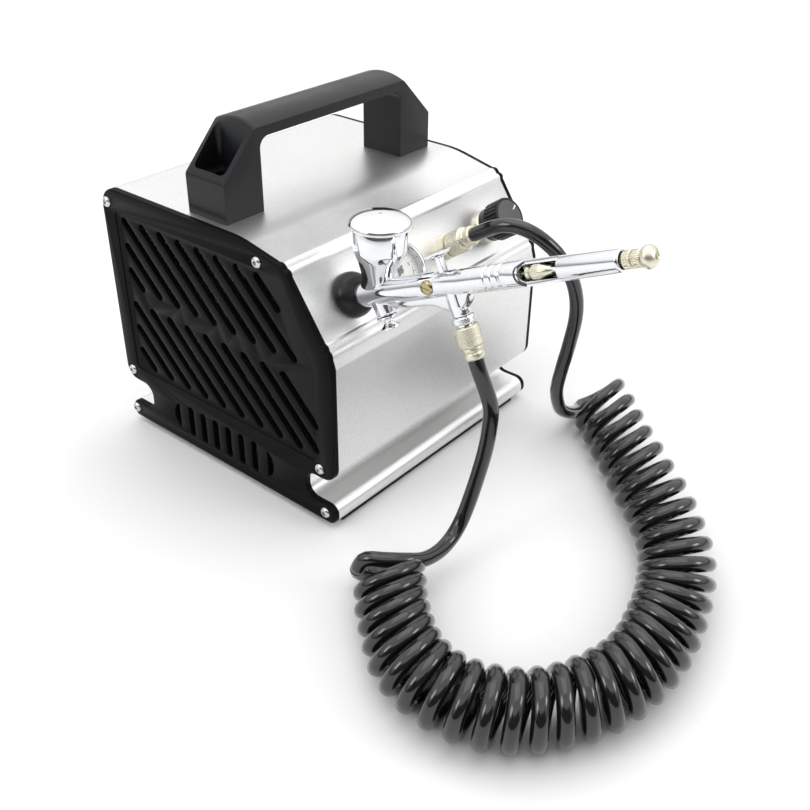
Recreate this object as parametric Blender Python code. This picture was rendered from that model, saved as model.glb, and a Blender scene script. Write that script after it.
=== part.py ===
"""Small piston airbrush compressor in an extruded aluminium case, with a carry handle, its gravity-feed
airbrush in the rubber holder and a curly hose between the two.

Lengths are in millimetres until a mesh is made, which scales them to metres. X runs along the case from the
left end plate to the right one, -Y is the front with the slanted control panel, +Z is up and z = 0 is the
surface the feet stand on.
"""

import math

import bmesh
import bpy
import numpy as np
from mathutils import Matrix, Vector

MM = 0.001
GAP = 0.3  # clearance between pieces that rest on each other

# case: one extrusion closed by two moulded end plates
CASE_LENGTH = 150.0
PLATE = 3.0
WALL = 2.2
FOOT_HEIGHT = 3.0
FRONT = -11.8  # front face of the case
BACK = 131.7
TOP = 127.8
NOTCH_DEPTH = 18.0
NOTCH_LOW, NOTCH_HIGH = 12.3, 26.0
PANEL_LEAN = math.radians(35.0)  # the control panel leans back this far from upright
PANEL_TOP = (10.8, 118.5)  # y, z where the flat of the panel starts, below the upper ribs
PANEL_BREAK = 86.2  # height at which the panel meets the upright front
RIDGE = (13.2, 122.0)  # corner between the top and the panel
SHOULDER = 39.7  # y at which the top starts to fall towards the ridge
RIB_RISE = 0.9
PLATE_BEVEL = 0.7

# places on the control panel: x, and the distance down the panel
PANEL_ROW = 17.3
HOLDER_X, GAUGE_X, OUTLET_X, KNOB_X = -48.0, -20.5, 16.0, 47.0

# end plate screws: y, z and the radius of the boss inside the case (0 where the foot is solid)
PLATE_SCREWS = (
    (128.0, 120.4, 4.2),
    (28.6, 120.3, 6.2),
    (127.1, 31.2, 4.5),
    (-2.9, 30.7, 4.5),
    (128.6, 7.7, 0.0),
    (-5.4, 7.7, 0.0),
)

# grille slots in the end plates
SLOT = 3.2
SLOT_PITCH = 12.5
SLOT_ROWS = ((79.4, 115.6), (36.0, 73.0))  # lowest and highest z of the two diagonal rows
SLOT_FIELD_BACK = 119.2
LOUVRE = 4.0
LOUVRE_PITCH = 8.9
LOUVRE_Z = (9.3, 26.4)
LOUVRE_CENTRE = 61.7

# carry handle on top
HANDLE_X = (-68.9, 66.0)
HANDLE_Y = (52.0, 76.1)
HANDLE_TOP = 164.7
HANDLE_CROWN = 2.6
LEG = 21.5
LEG_SHOULDER = 145.3  # height at which each leg's outer face starts to slant inwards
GRIP = 4.4
EDGE_ROUND = 0.8
POCKET_WALL = 2.4
POCKET_FLOOR = 144.5
SCREW_SEAT = 133.0

# airbrush: its axis leaves the holder forwards and upwards
BRUSH_LIFT = math.radians(23.8)
BRUSH_ORIGIN = Vector((HOLDER_X, -5.9, 106.8))  # on the axis, at the mouth of the holder
BRUSH_AXIS = Vector((0.0, -math.cos(BRUSH_LIFT), math.sin(BRUSH_LIFT)))
BRUSH_UP = Vector((0.0, math.sin(BRUSH_LIFT), math.cos(BRUSH_LIFT)))
NOSE_R, BARREL_R, TAIL_R = 5.35, 4.95, 3.9
BARREL_END = 79.5
SHELL_END = 125.5
TRIGGER_T = 47.0
VALVE_T = 49.7
AIR_SCREW_T = 9.4
CUP_Y, CUP_TOP, CUP_R, LID_R = -15.0, 140.6, 10.9, 13.0

# hose
HOSE_R = 3.25
COIL_R = 16.0
COIL_Z = COIL_R + 0.1

# motor and pump inside the case
SHAFT_Y, SHAFT_Z = 62.0, 50.0
CRANK_THROW = 2.0
PUMP_X = 41.0

BLACK = ((0.018, 0.019, 0.020), 0.55, 0.0)
ALUMINIUM = ((0.80, 0.81, 0.80), 0.38, 1.0)
CHROME = ((0.86, 0.87, 0.88), 0.10, 1.0)
NICKEL = ((0.72, 0.69, 0.58), 0.28, 1.0)
BRASS = ((0.78, 0.62, 0.28), 0.25, 1.0)
STEEL = ((0.62, 0.63, 0.64), 0.30, 1.0)
RUBBER = ((0.030, 0.030, 0.032), 0.80, 0.0)
WHITE = ((0.90, 0.90, 0.88), 0.50, 0.0)
GLASS = ((0.95, 0.97, 0.98), 0.05, 0.0)
COPPER = ((0.60, 0.28, 0.12), 0.45, 0.6)
HOSE = ((0.020, 0.021, 0.023), 0.18, 0.0)


def clear_scene():
    for obj in list(bpy.data.objects):
        bpy.data.objects.remove(obj)


def material(name, look):
    """One Principled material for each object, in that object's colour, roughness and metallic value."""
    colour, roughness, metallic = look
    made = bpy.data.materials.new(name)
    made.use_nodes = True
    shader = made.node_tree.nodes["Principled BSDF"]
    shader.inputs["Base Color"].default_value = (*colour, 1.0)
    shader.inputs["Roughness"].default_value = roughness
    shader.inputs["Metallic"].default_value = metallic
    return made


def object_from(bm, name, look, place=None, smooth=35.0):
    """Turns a bmesh in millimetres into an object in metres, with its origin at place."""
    bmesh.ops.recalc_face_normals(bm, faces=bm.faces)
    place = Vector(place) if place is not None else Vector((0.0, 0.0, 0.0))
    bmesh.ops.translate(bm, verts=bm.verts, vec=-place)
    bmesh.ops.scale(bm, verts=bm.verts, vec=(MM, MM, MM))
    mesh = bpy.data.meshes.new(name)
    bm.to_mesh(mesh)
    bm.free()
    mesh.shade_smooth()
    mesh.set_sharp_from_angle(angle=math.radians(smooth))
    obj = bpy.data.objects.new(name, mesh)
    obj.location = place * MM
    bpy.context.scene.collection.objects.link(obj)
    if look is not None:
        mesh.materials.append(material(name, look))
    return obj


def cutter(bm, name):
    """A guide for a Boolean, which the build leaves out."""
    obj = object_from(bm, name, None)
    obj.hide_render = True
    obj.display_type = "WIRE"
    return obj


def boolean(obj, tool, operation):
    modifier = obj.modifiers.new(operation.lower(), "BOOLEAN")
    modifier.operation = operation
    modifier.solver = "EXACT"
    modifier.object = tool
    return obj


def cut(obj, tool):
    return boolean(obj, tool, "DIFFERENCE")


def join(obj, tool):
    return boolean(obj, tool, "UNION")


def arc(centre, radius, start, end, steps):
    """Points of an arc, with its angles in degrees."""
    angles = np.radians(np.linspace(start, end, steps + 1))
    return [(centre[0] + radius * math.cos(a), centre[1] + radius * math.sin(a)) for a in angles]


def rounded(corners, steps=4):
    """A closed outline through corners (a, b, radius), with each corner filleted."""
    outline = []
    count = len(corners)
    for i, (a, b, radius) in enumerate(corners):
        here = np.array((a, b))
        before = np.array(corners[i - 1][:2]) - here
        after = np.array(corners[(i + 1) % count][:2]) - here
        before /= np.linalg.norm(before)
        after /= np.linalg.norm(after)
        half = math.acos(max(-1.0, min(1.0, float(before @ after)))) / 2
        if radius <= 0:
            outline.append(tuple(here))
            continue
        middle = before + after
        middle /= np.linalg.norm(middle)
        centre = here + middle * radius / math.sin(half)
        first = here + before * radius / math.tan(half) - centre
        last = here + after * radius / math.tan(half) - centre
        begin = math.atan2(first[1], first[0])
        sweep = math.atan2(last[1], last[0]) - begin
        sweep = (sweep + math.pi) % (2 * math.pi) - math.pi
        for k in range(steps + 1):
            angle = begin + sweep * k / steps
            outline.append((centre[0] + radius * math.cos(angle), centre[1] + radius * math.sin(angle)))
    return outline


def inset(outline, amount):
    """The same number of points, moved inwards by amount. The outline runs counter-clockwise."""
    points = np.array(outline)
    before = points - np.roll(points, 1, axis=0)
    after = np.roll(points, -1, axis=0) - points
    normal_in = np.stack([-before[:, 1], before[:, 0]], 1)
    normal_out = np.stack([-after[:, 1], after[:, 0]], 1)
    normal_in /= np.linalg.norm(normal_in, axis=1)[:, None]
    normal_out /= np.linalg.norm(normal_out, axis=1)[:, None]
    middle = normal_in + normal_out
    middle /= np.linalg.norm(middle, axis=1)[:, None]
    reach = amount / (middle * normal_in).sum(1)
    return [tuple(p) for p in points + middle * reach[:, None]]


def skin(rings, closed=False):
    """A solid from rings of 3D points that all have the same count: side quads, and a cap on each end."""
    bm = bmesh.new()
    rows = [[bm.verts.new(point) for point in ring] for ring in rings]
    count = len(rows[0])
    pairs = list(zip(rows, rows[1:]))
    if closed:
        pairs.append((rows[-1], rows[0]))
    for low, high in pairs:
        for i in range(count):
            j = (i + 1) % count
            bm.faces.new((low[i], low[j], high[j], high[i]))
    if not closed:
        bm.faces.new(rows[0][::-1])
        bm.faces.new(rows[-1])
    return bm


def prism_x(outline, x0, x1):
    """An outline of (y, z) points run along X."""
    return skin([[(x, y, z) for y, z in outline] for x in (x0, x1)])


def box(x, y, z):
    bm = bmesh.new()
    bmesh.ops.create_cube(bm, size=1.0)
    size = (x[1] - x[0], y[1] - y[0], z[1] - z[0])
    bmesh.ops.scale(bm, verts=bm.verts, vec=size)
    bmesh.ops.translate(bm, verts=bm.verts, vec=((x[0] + x[1]) / 2, (y[0] + y[1]) / 2, (z[0] + z[1]) / 2))
    return bm


def axes_of(axis):
    """Two directions square to axis."""
    axis = Vector(axis).normalized()
    side = axis.orthogonal() if abs(axis.x) > 0.9 else Vector((1.0, 0.0, 0.0)) - axis * axis.x
    side.normalize()
    return side, axis.cross(side)


def turned(profile, origin, axis, sides=24, bore=None, wave=None):
    """A turned solid. profile is (height, radius) from low to high; bore is the same for its hole.
    wave(k) scales the radius at side k, for knurls and ribs. A zero radius is not used: ends are flat."""
    origin = Vector(origin)
    side, other = axes_of(axis)
    axis = Vector(axis).normalized()

    def ring(height, radius, ribbed):
        points = []
        for k in range(sides):
            angle = 2 * math.pi * k / sides
            reach = radius * (wave(k) if ribbed and wave else 1.0)
            points.append(origin + axis * height + (side * math.cos(angle) + other * math.sin(angle)) * reach)
        return points

    rings = [ring(p[0], p[1], len(p) > 2) for p in profile]
    if bore:
        rings += [ring(p[0], p[1], False) for p in reversed(bore)]
        return skin(rings, closed=True)
    return skin(rings)


def on_panel(x, down, height=0.0):
    """A point on the control panel, down from its top edge and height out of its face."""
    y = PANEL_TOP[0] - math.sin(PANEL_LEAN) * down - math.cos(PANEL_LEAN) * height
    z = PANEL_TOP[1] - math.cos(PANEL_LEAN) * down + math.sin(PANEL_LEAN) * height
    return Vector((x, y, z))


PANEL_OUT = Vector((0.0, -math.cos(PANEL_LEAN), math.sin(PANEL_LEAN)))


def on_brush(along, up=0.0, side=0.0):
    """A point in the airbrush's own frame."""
    return BRUSH_ORIGIN + BRUSH_AXIS * along + BRUSH_UP * up + Vector((side, 0.0, 0.0))


# ---------------------------------------------------------------- case


def rib(start, end, rise, steps=4):
    """Points of a low half-round rib between two points, standing out on the left of start to end."""
    start, end = np.array(start), np.array(end)
    run = end - start
    out = np.array((run[1], -run[0])) / np.linalg.norm(run)
    points = []
    for k in range(steps + 1):
        share = k / steps
        points.append(tuple(start + run * share + out * rise * math.sin(math.pi * share)))
    return points


def case_outline():
    """The extrusion's outline as (y, z), counter-clockwise seen from +X, with its two pairs of ribs."""
    foot_front, foot_back = FRONT + 0.5, BACK - 0.5
    low = FOOT_HEIGHT
    notch_front, notch_back = FRONT + NOTCH_DEPTH, BACK - NOTCH_DEPTH
    panel_foot = (FRONT, PANEL_BREAK)
    corners = [
        (foot_front, low, 3.6),
        (foot_back, low, 3.6),
        (foot_back, NOTCH_LOW, 4.6),
        (notch_back, NOTCH_LOW, 5.6),
        (notch_back, NOTCH_HIGH, 6.0),
        (BACK, NOTCH_HIGH, 7.0),
        (BACK, TOP, 10.0),
        (SHOULDER, TOP, 60.0),
    ]
    rising = rounded(corners + [(*RIDGE, 0), (*panel_foot, 0)], steps=5)[:-2]
    upper = rib((17.5, 123.1), (13.4, 121.4), RIB_RISE) + rib((13.4, 121.4), PANEL_TOP, RIB_RISE)[1:]
    slope = math.tan(PANEL_LEAN)
    top_of_pair = 93.8
    first = (PANEL_TOP[0] - slope * (PANEL_TOP[1] - top_of_pair), top_of_pair)
    second = (first[0] - 2.1, top_of_pair - 2.6)
    third = (FRONT + 1.4, PANEL_BREAK + 1.9)
    lower = rib(first, second, 0.7) + rib(second, third, 0.7)[1:]
    falling = rounded(
        [
            (*third, 0),
            (FRONT, PANEL_BREAK - 2.5, 6.0),
            (FRONT, NOTCH_HIGH, 7.0),
            (notch_front, NOTCH_HIGH, 6.0),
            (notch_front, NOTCH_LOW, 5.6),
            (foot_front, NOTCH_LOW, 4.6),
            (foot_front, low, 0),
        ],
        steps=5,
    )[1:-1]
    return rising + upper + lower + falling


def cavity_outline():
    """The hollow inside the extrusion. The feet stay solid."""
    notch_front, notch_back = FRONT + NOTCH_DEPTH + WALL, BACK - NOTCH_DEPTH - WALL
    shelf = NOTCH_HIGH + WALL
    thin = WALL / math.cos(PANEL_LEAN)
    slope = math.tan(PANEL_LEAN)
    panel_y = PANEL_TOP[0] - slope * (PANEL_TOP[1] - PANEL_BREAK) + thin
    ridge_z = 119.4
    return rounded(
        [
            (notch_front, FOOT_HEIGHT + WALL + 0.6, 2.0),
            (notch_back, FOOT_HEIGHT + WALL + 0.6, 2.0),
            (notch_back, shelf, 2.0),
            (BACK - WALL, shelf, 2.0),
            (BACK - WALL, TOP - WALL, 7.0),
            (SHOULDER - 1.0, TOP - WALL, 12.0),
            (PANEL_TOP[0] + thin + slope * (ridge_z - PANEL_TOP[1]), ridge_z, 2.0),
            (panel_y - slope * 1.0, PANEL_BREAK - 1.0, 3.0),
            (FRONT + WALL, shelf, 2.0),
            (notch_front, shelf, 2.0),
        ],
        steps=3,
    )


def many(parts):
    """Several closed shapes that don't touch, as one cutter."""
    whole = bmesh.new()
    for part in parts:
        mesh = bpy.data.meshes.new("part")
        part.to_mesh(mesh)
        part.free()
        whole.from_mesh(mesh)
        bpy.data.meshes.remove(mesh)
    return whole


def case_shell():
    end = CASE_LENGTH / 2 - PLATE - GAP
    shell = object_from(prism_x(case_outline(), -end, end), "case_shell", ALUMINIUM)
    cut(shell, cutter(prism_x(cavity_outline(), -end - 1, end + 1), "case_cavity"))
    bosses = [s for s in PLATE_SCREWS if s[2] > 0]
    boss_shapes = [turned([(-end, s[2]), (end, s[2])], (0, s[0], s[1]), (1, 0, 0), 16) for s in bosses]
    join(shell, cutter(many(boss_shapes), "case_bosses"))
    holes = [
        turned([(-end - 1, 1.65), (end + 1, 1.65)], (0, y, z), (1, 0, 0), 10) for y, z, _ in PLATE_SCREWS
    ]
    cut(shell, cutter(many(holes), "case_screw_holes"))
    openings = [
        turned([(-6, 4.9), (3, 4.9)], on_panel(GAUGE_X, PANEL_ROW), PANEL_OUT, 16),
        turned([(-6, 4.6), (3, 4.6)], on_panel(OUTLET_X, PANEL_ROW), PANEL_OUT, 16),
        turned([(-6, 5.0), (3, 5.0)], on_panel(KNOB_X, PANEL_ROW), PANEL_OUT, 16),
        turned([(-16, 6.3), (-2, 6.3)], BRUSH_ORIGIN, BRUSH_AXIS, 20),
    ]
    for x, y in handle_screw_places():
        openings.append(turned([(TOP - 8, 1.9), (TOP + 2, 1.9)], (x, y, 0), (0, 0, 1), 12))
    openings.append(box((30.0, 62.0), (BACK - 6, BACK + 3), (44.0, 76.0)))
    return cut(shell, cutter(many(openings), "case_openings"))


def slot_shape(y0, z0, y1, z1, width, steps=3):
    """A slot with round ends as an outline of (y, z)."""
    angle = math.degrees(math.atan2(z1 - z0, y1 - y0))
    return arc((y0, z0), width / 2, angle + 90, angle + 270, steps) + arc(
        (y1, z1), width / 2, angle - 90, angle + 90, steps
    )


def front_limit(z):
    """How far forward a slot may reach at height z, beside the slanted edge of the plate."""
    slope = math.tan(PANEL_LEAN)
    edge = PANEL_TOP[0] - slope * (PANEL_TOP[1] - z)
    return max(edge, FRONT) + 10.5


def diagonal_slots():
    """The slots that fall 45 degrees towards the front, clipped to the field in two rows."""
    shapes = []
    reach = SLOT / 2
    for low, high in SLOT_ROWS:
        top, bottom = high - reach, low + reach
        for k in range(-3, 9):
            start_y = SLOT_FIELD_BACK - reach - SLOT_PITCH * k
            start_z = top
            if start_y > SLOT_FIELD_BACK - reach:
                start_z -= start_y - (SLOT_FIELD_BACK - reach)
                start_y = SLOT_FIELD_BACK - reach
            fall = start_z - bottom
            while fall > 0 and start_y - fall < front_limit(start_z - fall):
                fall -= 0.5
            if fall > SLOT:
                shapes.append(slot_shape(start_y, start_z, start_y - fall, start_z - fall, SLOT))
    return shapes


def louvres():
    """The row of upright slots along the foot of the plate. The two end ones are half-moons."""
    low, high = LOUVRE_Z
    middle = (low + high) / 2
    radius = (high - low) / 2
    shapes = []
    for k in range(6):
        y = LOUVRE_CENTRE + LOUVRE_PITCH * (k - 2.5)
        shapes.append(slot_shape(y, low + LOUVRE / 2, y, high - LOUVRE / 2, LOUVRE))
    flat = LOUVRE_PITCH * 3 + LOUVRE / 2 + 2.0
    for sign in (-1, 1):
        start = LOUVRE_CENTRE + sign * (flat - radius + 4.4)
        spread = math.degrees(math.acos((radius - 4.4) / radius))
        bow = arc((start, middle), radius, -spread, spread, 8)
        shapes.append(bow if sign > 0 else [(2 * start - y, z) for y, z in bow][::-1])
    return shapes


def end_plate(name, sign):
    """sign is -1 for the left plate and +1 for the right one."""
    outline = case_outline()
    inner = sign * (CASE_LENGTH / 2 - PLATE)
    outer = sign * CASE_LENGTH / 2
    small = inset(outline, PLATE_BEVEL)
    rings = [
        [(inner, y, z) for y, z in outline],
        [(outer - sign * PLATE_BEVEL, y, z) for y, z in outline],
        [(outer, y, z) for y, z in small],
    ]
    plate = object_from(skin(rings), name, BLACK)
    field = rounded(
        [
            (FRONT + 10.0, 34.0, 3.0),
            (122.9, 34.0, 3.0),
            (122.9, 117.6, 3.0),
            (16.0, 117.6, 3.0),
            (FRONT + 10.0, PANEL_BREAK - 4.0, 5.0),
        ],
        steps=2,
    )
    recess = [prism_x(field, outer - sign * 0.5, outer + sign * 1.0)]
    cut(plate, cutter(many(recess), name + "_recess"))
    holes = [prism_x(shape, inner - sign, outer + sign) for shape in diagonal_slots() + louvres()]
    cut(plate, cutter(many(holes), name + "_slots"))
    screws = [
        turned([(inner - sign, 1.65), (outer + sign, 1.65)], (0, y, z), (1, 0, 0), 10)
        for y, z, _ in PLATE_SCREWS
    ]
    return cut(plate, cutter(many(screws), name + "_screw_holes"))


def plate_screw(name, sign, y, z):
    """A button-head screw with a hexagon socket."""
    face = CASE_LENGTH / 2
    head = [
        (face - 12.0, 1.0),
        (face - 11.4, 1.35),
        (face + GAP, 1.35),
        (face + GAP, 2.45),
        (face + 1.1, 2.3),
        (face + 1.7, 1.5),
    ]
    screw = object_from(turned(head, (0, y, z), (sign, 0, 0), 12), name, STEEL, (sign * face, y, z))
    socket = turned([(face + 0.7, 0.8), (face + 3.0, 0.8)], (0, y, z), (sign, 0, 0), 6)
    return cut(screw, cutter(socket, name + "_socket"))


def foot_strip(name, y0, y1):
    """A rubber strip under one foot of the extrusion."""
    half = CASE_LENGTH / 2 - 8
    top = FOOT_HEIGHT - GAP
    outline = rounded([(y0, 0.0, 0.8), (y1, 0.0, 0.8), (y1, top, 0), (y0, top, 0)], steps=2)
    return object_from(prism_x(outline, -half, half), name, RUBBER)


# ---------------------------------------------------------------- handle


def handle_screw_places():
    middle = (HANDLE_Y[0] + HANDLE_Y[1]) / 2
    return ((HANDLE_X[0] + 11.5, middle), (HANDLE_X[1] - 11.5, middle))


def carry_handle():
    """A moulded bridge: two legs with slanted open ends, and a thin grip crowned across its width."""
    x0, x1 = HANDLE_X
    y0, y1 = HANDLE_Y
    base = TOP + GAP
    slant = HANDLE_TOP - LEG_SHOULDER
    under = HANDLE_TOP - GRIP
    side = rounded(
        [
            (x0, base, 0.6),
            (x0 + LEG, base, 0.6),
            (x0 + LEG, under, 5.0),
            (x1 - LEG, under, 5.0),
            (x1 - LEG, base, 0.6),
            (x1, base, 0.6),
            (x1, LEG_SHOULDER, 2.5),
            (x1 - slant, HANDLE_TOP, 3.0),
            (x0 + slant, HANDLE_TOP, 3.0),
            (x0, LEG_SHOULDER, 2.5),
        ],
        steps=3,
    )
    rings = []
    for share in (-1.0, -0.93, -0.65, -0.3, 0.0, 0.3, 0.65, 0.93, 1.0):
        lift = HANDLE_CROWN * (1 - share * share)
        edge = EDGE_ROUND if abs(share) == 1.0 else 0.0
        ring = []
        for x, z in side:
            outer = z > LEG_SHOULDER and not x0 + slant < x < x1 - slant
            if outer or z > under + 1.0:
                z += lift * (z - LEG_SHOULDER) / slant - edge
            elif z > under - 0.1 and edge:
                z += edge
            ring.append((x, (y0 + y1) / 2 + share * (y1 - y0) / 2, z))
        rings.append(ring)
    handle = object_from(skin(rings), "carry_handle", BLACK, smooth=40)
    cut(handle, cutter(many([pocket(1), pocket(-1)]), "handle_pockets"))
    bores = []
    for x, y in handle_screw_places():
        bores.append(turned([(base - 1, 2.0), (SCREW_SEAT + 1, 2.0)], (x, y, 0), (0, 0, 1), 12))
    cut(handle, cutter(many(bores), "handle_bores"))
    wells = []
    for x, y in handle_screw_places():
        wells.append(turned([(SCREW_SEAT, 4.4), (POCKET_FLOOR + 1, 4.4)], (x, y, 0), (0, 0, 1), 20))
    return cut(handle, cutter(many(wells), "handle_wells"))


def pocket(inward):
    """The hollow in a leg, open through its slanted face. inward is 1 for the left leg, else -1."""
    edge = HANDLE_X[0] if inward > 0 else HANDLE_X[1]
    across = sorted((edge + inward * POCKET_WALL, edge + inward * (LEG - POCKET_WALL - 1.6)))
    along = (HANDLE_Y[0] + POCKET_WALL, HANDLE_Y[1] - POCKET_WALL)
    plan = rounded([(across[i], along[j], 2.5) for i, j in ((0, 0), (1, 0), (1, 1), (0, 1))], steps=3)
    return skin([[(x, y, z) for x, y in plan] for z in (POCKET_FLOOR, HANDLE_TOP + 12.0)])


def handle_screw(name, x, y):
    """A pan-head screw at the bottom of the well in the leg."""
    shape = [(TOP - 7, 1.3), (TOP - 6, 1.6), (SCREW_SEAT + GAP, 1.6), (SCREW_SEAT + GAP, 3.6)]
    shape += [(SCREW_SEAT + 2.0, 3.4), (SCREW_SEAT + 3.0, 2.2)]
    screw = object_from(turned(shape, (x, y, 0), (0, 0, 1), 14), name, STEEL, (x, y, TOP))
    socket = turned([(SCREW_SEAT + 1.6, 1.4), (SCREW_SEAT + 5, 1.4)], (x, y, 0), (0, 0, 1), 6)
    return cut(screw, cutter(socket, name + "_socket"))


# ---------------------------------------------------------------- control panel


def holder_ring():
    """The domed rubber grommet that holds the airbrush by its nose."""
    base = on_panel(HOLDER_X, PANEL_ROW)
    dome = [(GAP, 9.3), (1.6, 9.6), (3.6, 9.0), (5.4, 7.9), (6.4, 6.9), (6.6, 6.2)]
    ring = object_from(turned(dome, base, PANEL_OUT, 28), "holder_ring", RUBBER)
    bore = turned([(-12, NOSE_R + GAP), (6, NOSE_R + GAP)], BRUSH_ORIGIN, BRUSH_AXIS, 24)
    return cut(ring, cutter(bore, "holder_bore"))


def gauge():
    base = on_panel(GAUGE_X, PANEL_ROW)
    shape = [
        (-10, 4.0), (-9.4, 4.6), (GAP, 4.6), (GAP, 12.4), (2.0, 13.2), (6.6, 13.3), (7.7, 12.7), (8.0, 11.9),
    ]
    case = object_from(turned(shape, base, PANEL_OUT, 32), "gauge_case", CHROME, base)
    cut(case, cutter(turned([(3.0, 11.1), (9.0, 11.1)], base, PANEL_OUT, 32), "gauge_hollow"))
    object_from(turned([(3.3, 10.7), (4.0, 10.7)], base, PANEL_OUT, 32), "gauge_dial", WHITE, base)
    pointer = turned([(4.4, 1.3), (5.2, 1.1)], base, PANEL_OUT, 12)
    side, other = axes_of(PANEL_OUT)
    needle = object_from(pointer, "gauge_needle", BLACK, base)
    reach = [(-0.45, -2.6), (0.45, -2.6), (0.22, 8.2), (-0.22, 8.2)]
    aim = math.radians(225)
    along = side * math.cos(aim) + other * math.sin(aim)
    across = PANEL_OUT.cross(along)
    hand = skin([[base + PANEL_OUT * h + across * a + along * b for a, b in reach] for h in (4.5, 4.9)])
    join(needle, cutter(hand, "gauge_hand"))
    object_from(
        turned([(5.8, 10.8), (6.6, 10.8), (6.9, 10.0)], base, PANEL_OUT, 32), "gauge_lens", GLASS, base,
    )


def ribbed(depth):
    """A radius that dips between ribs."""
    return lambda k: 1.0 if k % 2 == 0 else 1.0 - depth


def regulator():
    base = on_panel(KNOB_X, PANEL_ROW)
    shape = [
        (-20, 7.5), (-18.5, 8.6), (-3.4, 8.6), (-3.0, 4.6), (GAP, 4.6), (GAP, 6.9), (2.6, 6.9), (3.0, 6.4),
    ]
    shape += [(3.0, 2.6), (9.6, 2.6), (10.0, 2.2)]
    object_from(turned(shape, base, PANEL_OUT, 18), "regulator_valve", NICKEL, base)
    knob = [(3.4, 7.7), (7.0, 7.9), (8.6, 8.2), (8.6, 9.0, 1), (16.2, 9.0, 1), (17.0, 8.5)]
    whole = turned(knob, base, PANEL_OUT, 48, wave=ribbed(0.05))
    knob_obj = object_from(whole, "regulator_knob", BLACK, base)
    cut(knob_obj, cutter(turned([(2.0, 3.0), (10.4, 3.0)], base, PANEL_OUT, 14), "knob_bore"))


def outlet():
    base = on_panel(OUTLET_X, PANEL_ROW)
    object_from(
        turned(
            [(-11, 3.0), (-10, 4.2), (GAP, 4.2), (GAP, 6.3), (4.4, 6.3), (4.4, 4.0), (9.0, 4.0)],
            base,
            PANEL_OUT,
            12,
        ),
        "outlet_fitting",
        NICKEL,
        base,
    )
    shape = [
        (4.8, 5.0),
        (5.4, 5.6, 1),
        (13.6, 5.6, 1),
        (14.4, 5.0),
        (14.4, 4.3),
        (15.0, 4.5),
        (18.2, 4.5),
        (18.9, 4.1),
    ]
    nut = turned(shape, base, PANEL_OUT, 40, wave=ribbed(0.04))
    nut_obj = object_from(nut, "hose_nut_outlet", NICKEL, base)
    cut(nut_obj, cutter(turned([(3.8, 4.35), (9.5, 4.35)], base, PANEL_OUT, 12), "outlet_nut_bore"))


# ---------------------------------------------------------------- airbrush


def brush_turned(profile, sides=20, bore=None, wave=None):
    return turned(profile, BRUSH_ORIGIN, BRUSH_AXIS, sides, bore, wave=wave)


def down_turned(profile, along, sides=18, wave=None, bore=None):
    """A turned shape whose heights run down from the airbrush's axis."""
    return turned(profile, on_brush(along), -BRUSH_UP, sides, bore, wave=wave)


def keel():
    """The web under the barrel, from the air screw's boss back to the valve."""
    edge = [
        (5.0, -3.0),
        (15.5, -5.6),
        (19.0, -7.6),
        (30.0, -7.4),
        (38.0, -7.8),
        (44.0, -10.4),
        (54.2, -10.4),
        (54.2, -3.0),
    ]
    rings = []
    for side, share in ((-2.6, 0.94), (-2.0, 1.0), (2.0, 1.0), (2.6, 0.94)):
        rings.append([on_brush(t, u * share, side) for t, u in edge])
    return skin(rings)


def airbrush_body():
    bore_r = 2.3
    shape = [
        (-2.8, NOSE_R - 0.5),
        (-2.0, NOSE_R),
        (16.0, NOSE_R),
        (30.0, NOSE_R),
        (56.0, BARREL_R),
        (76.0, BARREL_R),
        (76.0, 4.0),
        (BARREL_END + 6.0, 4.0),
    ]
    body = object_from(brush_turned(shape, 24), "airbrush_body", CHROME, BRUSH_ORIGIN)
    join(body, cutter(keel(), "brush_keel"))
    join(body, cutter(down_turned([(2.0, 3.9), (12.9, 3.9)], VALVE_T, 18), "brush_valve_boss"))
    join(body, cutter(down_turned([(2.0, 4.1), (9.6, 3.7)], AIR_SCREW_T, 18), "brush_front_boss"))
    hollow = brush_turned([(-4.0, bore_r), (BARREL_END + 8.0, bore_r)], 16)
    cut(body, cutter(hollow, "brush_bore"))
    slot = ((42.0, 0), (55.5, 0), (55.5, 8.0), (42.0, 8.0))
    well = skin([[on_brush(t, u, s) for t, u in slot] for s in (-1.9, 1.9)])
    shaft = down_turned([(-1.0, 2.4), (5.0, 2.4), (5.2, 1.9), (13.5, 1.9)], TRIGGER_T, 20)
    cut(body, cutter(well, "brush_trigger_slot"))
    cut(body, cutter(shaft, "brush_plunger_hole"))
    socket = turned([(3.0, 1.7), (9.0, 1.7)], on_brush(40.6, 0.6), (-1, 0, 0), 12)
    cut(body, cutter(socket, "brush_side_hole"))
    drill = down_turned([(5.0, 1.5), (11.0, 1.5)], AIR_SCREW_T, 10)
    return cut(body, cutter(drill, "brush_air_screw_hole"))


def nozzle_cap():
    shape = [(-16.0, 1.9), (-14.0, 2.6), (-9.0, 4.2), (-4.2, 4.9), (-3.1, 4.9)]
    bore = [(-16.0, 1.1), (-3.1, 1.1)]
    return object_from(brush_turned(shape, 20, bore), "nozzle_cap", CHROME, BRUSH_ORIGIN)


def cup_ring(centre_y, z, radius, stretch=1.0, sides=28):
    points = []
    for k in range(sides):
        angle = 2 * math.pi * k / sides
        points.append((HOLDER_X + radius * math.cos(angle), centre_y + radius * stretch * math.sin(angle), z))
    return points


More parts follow.
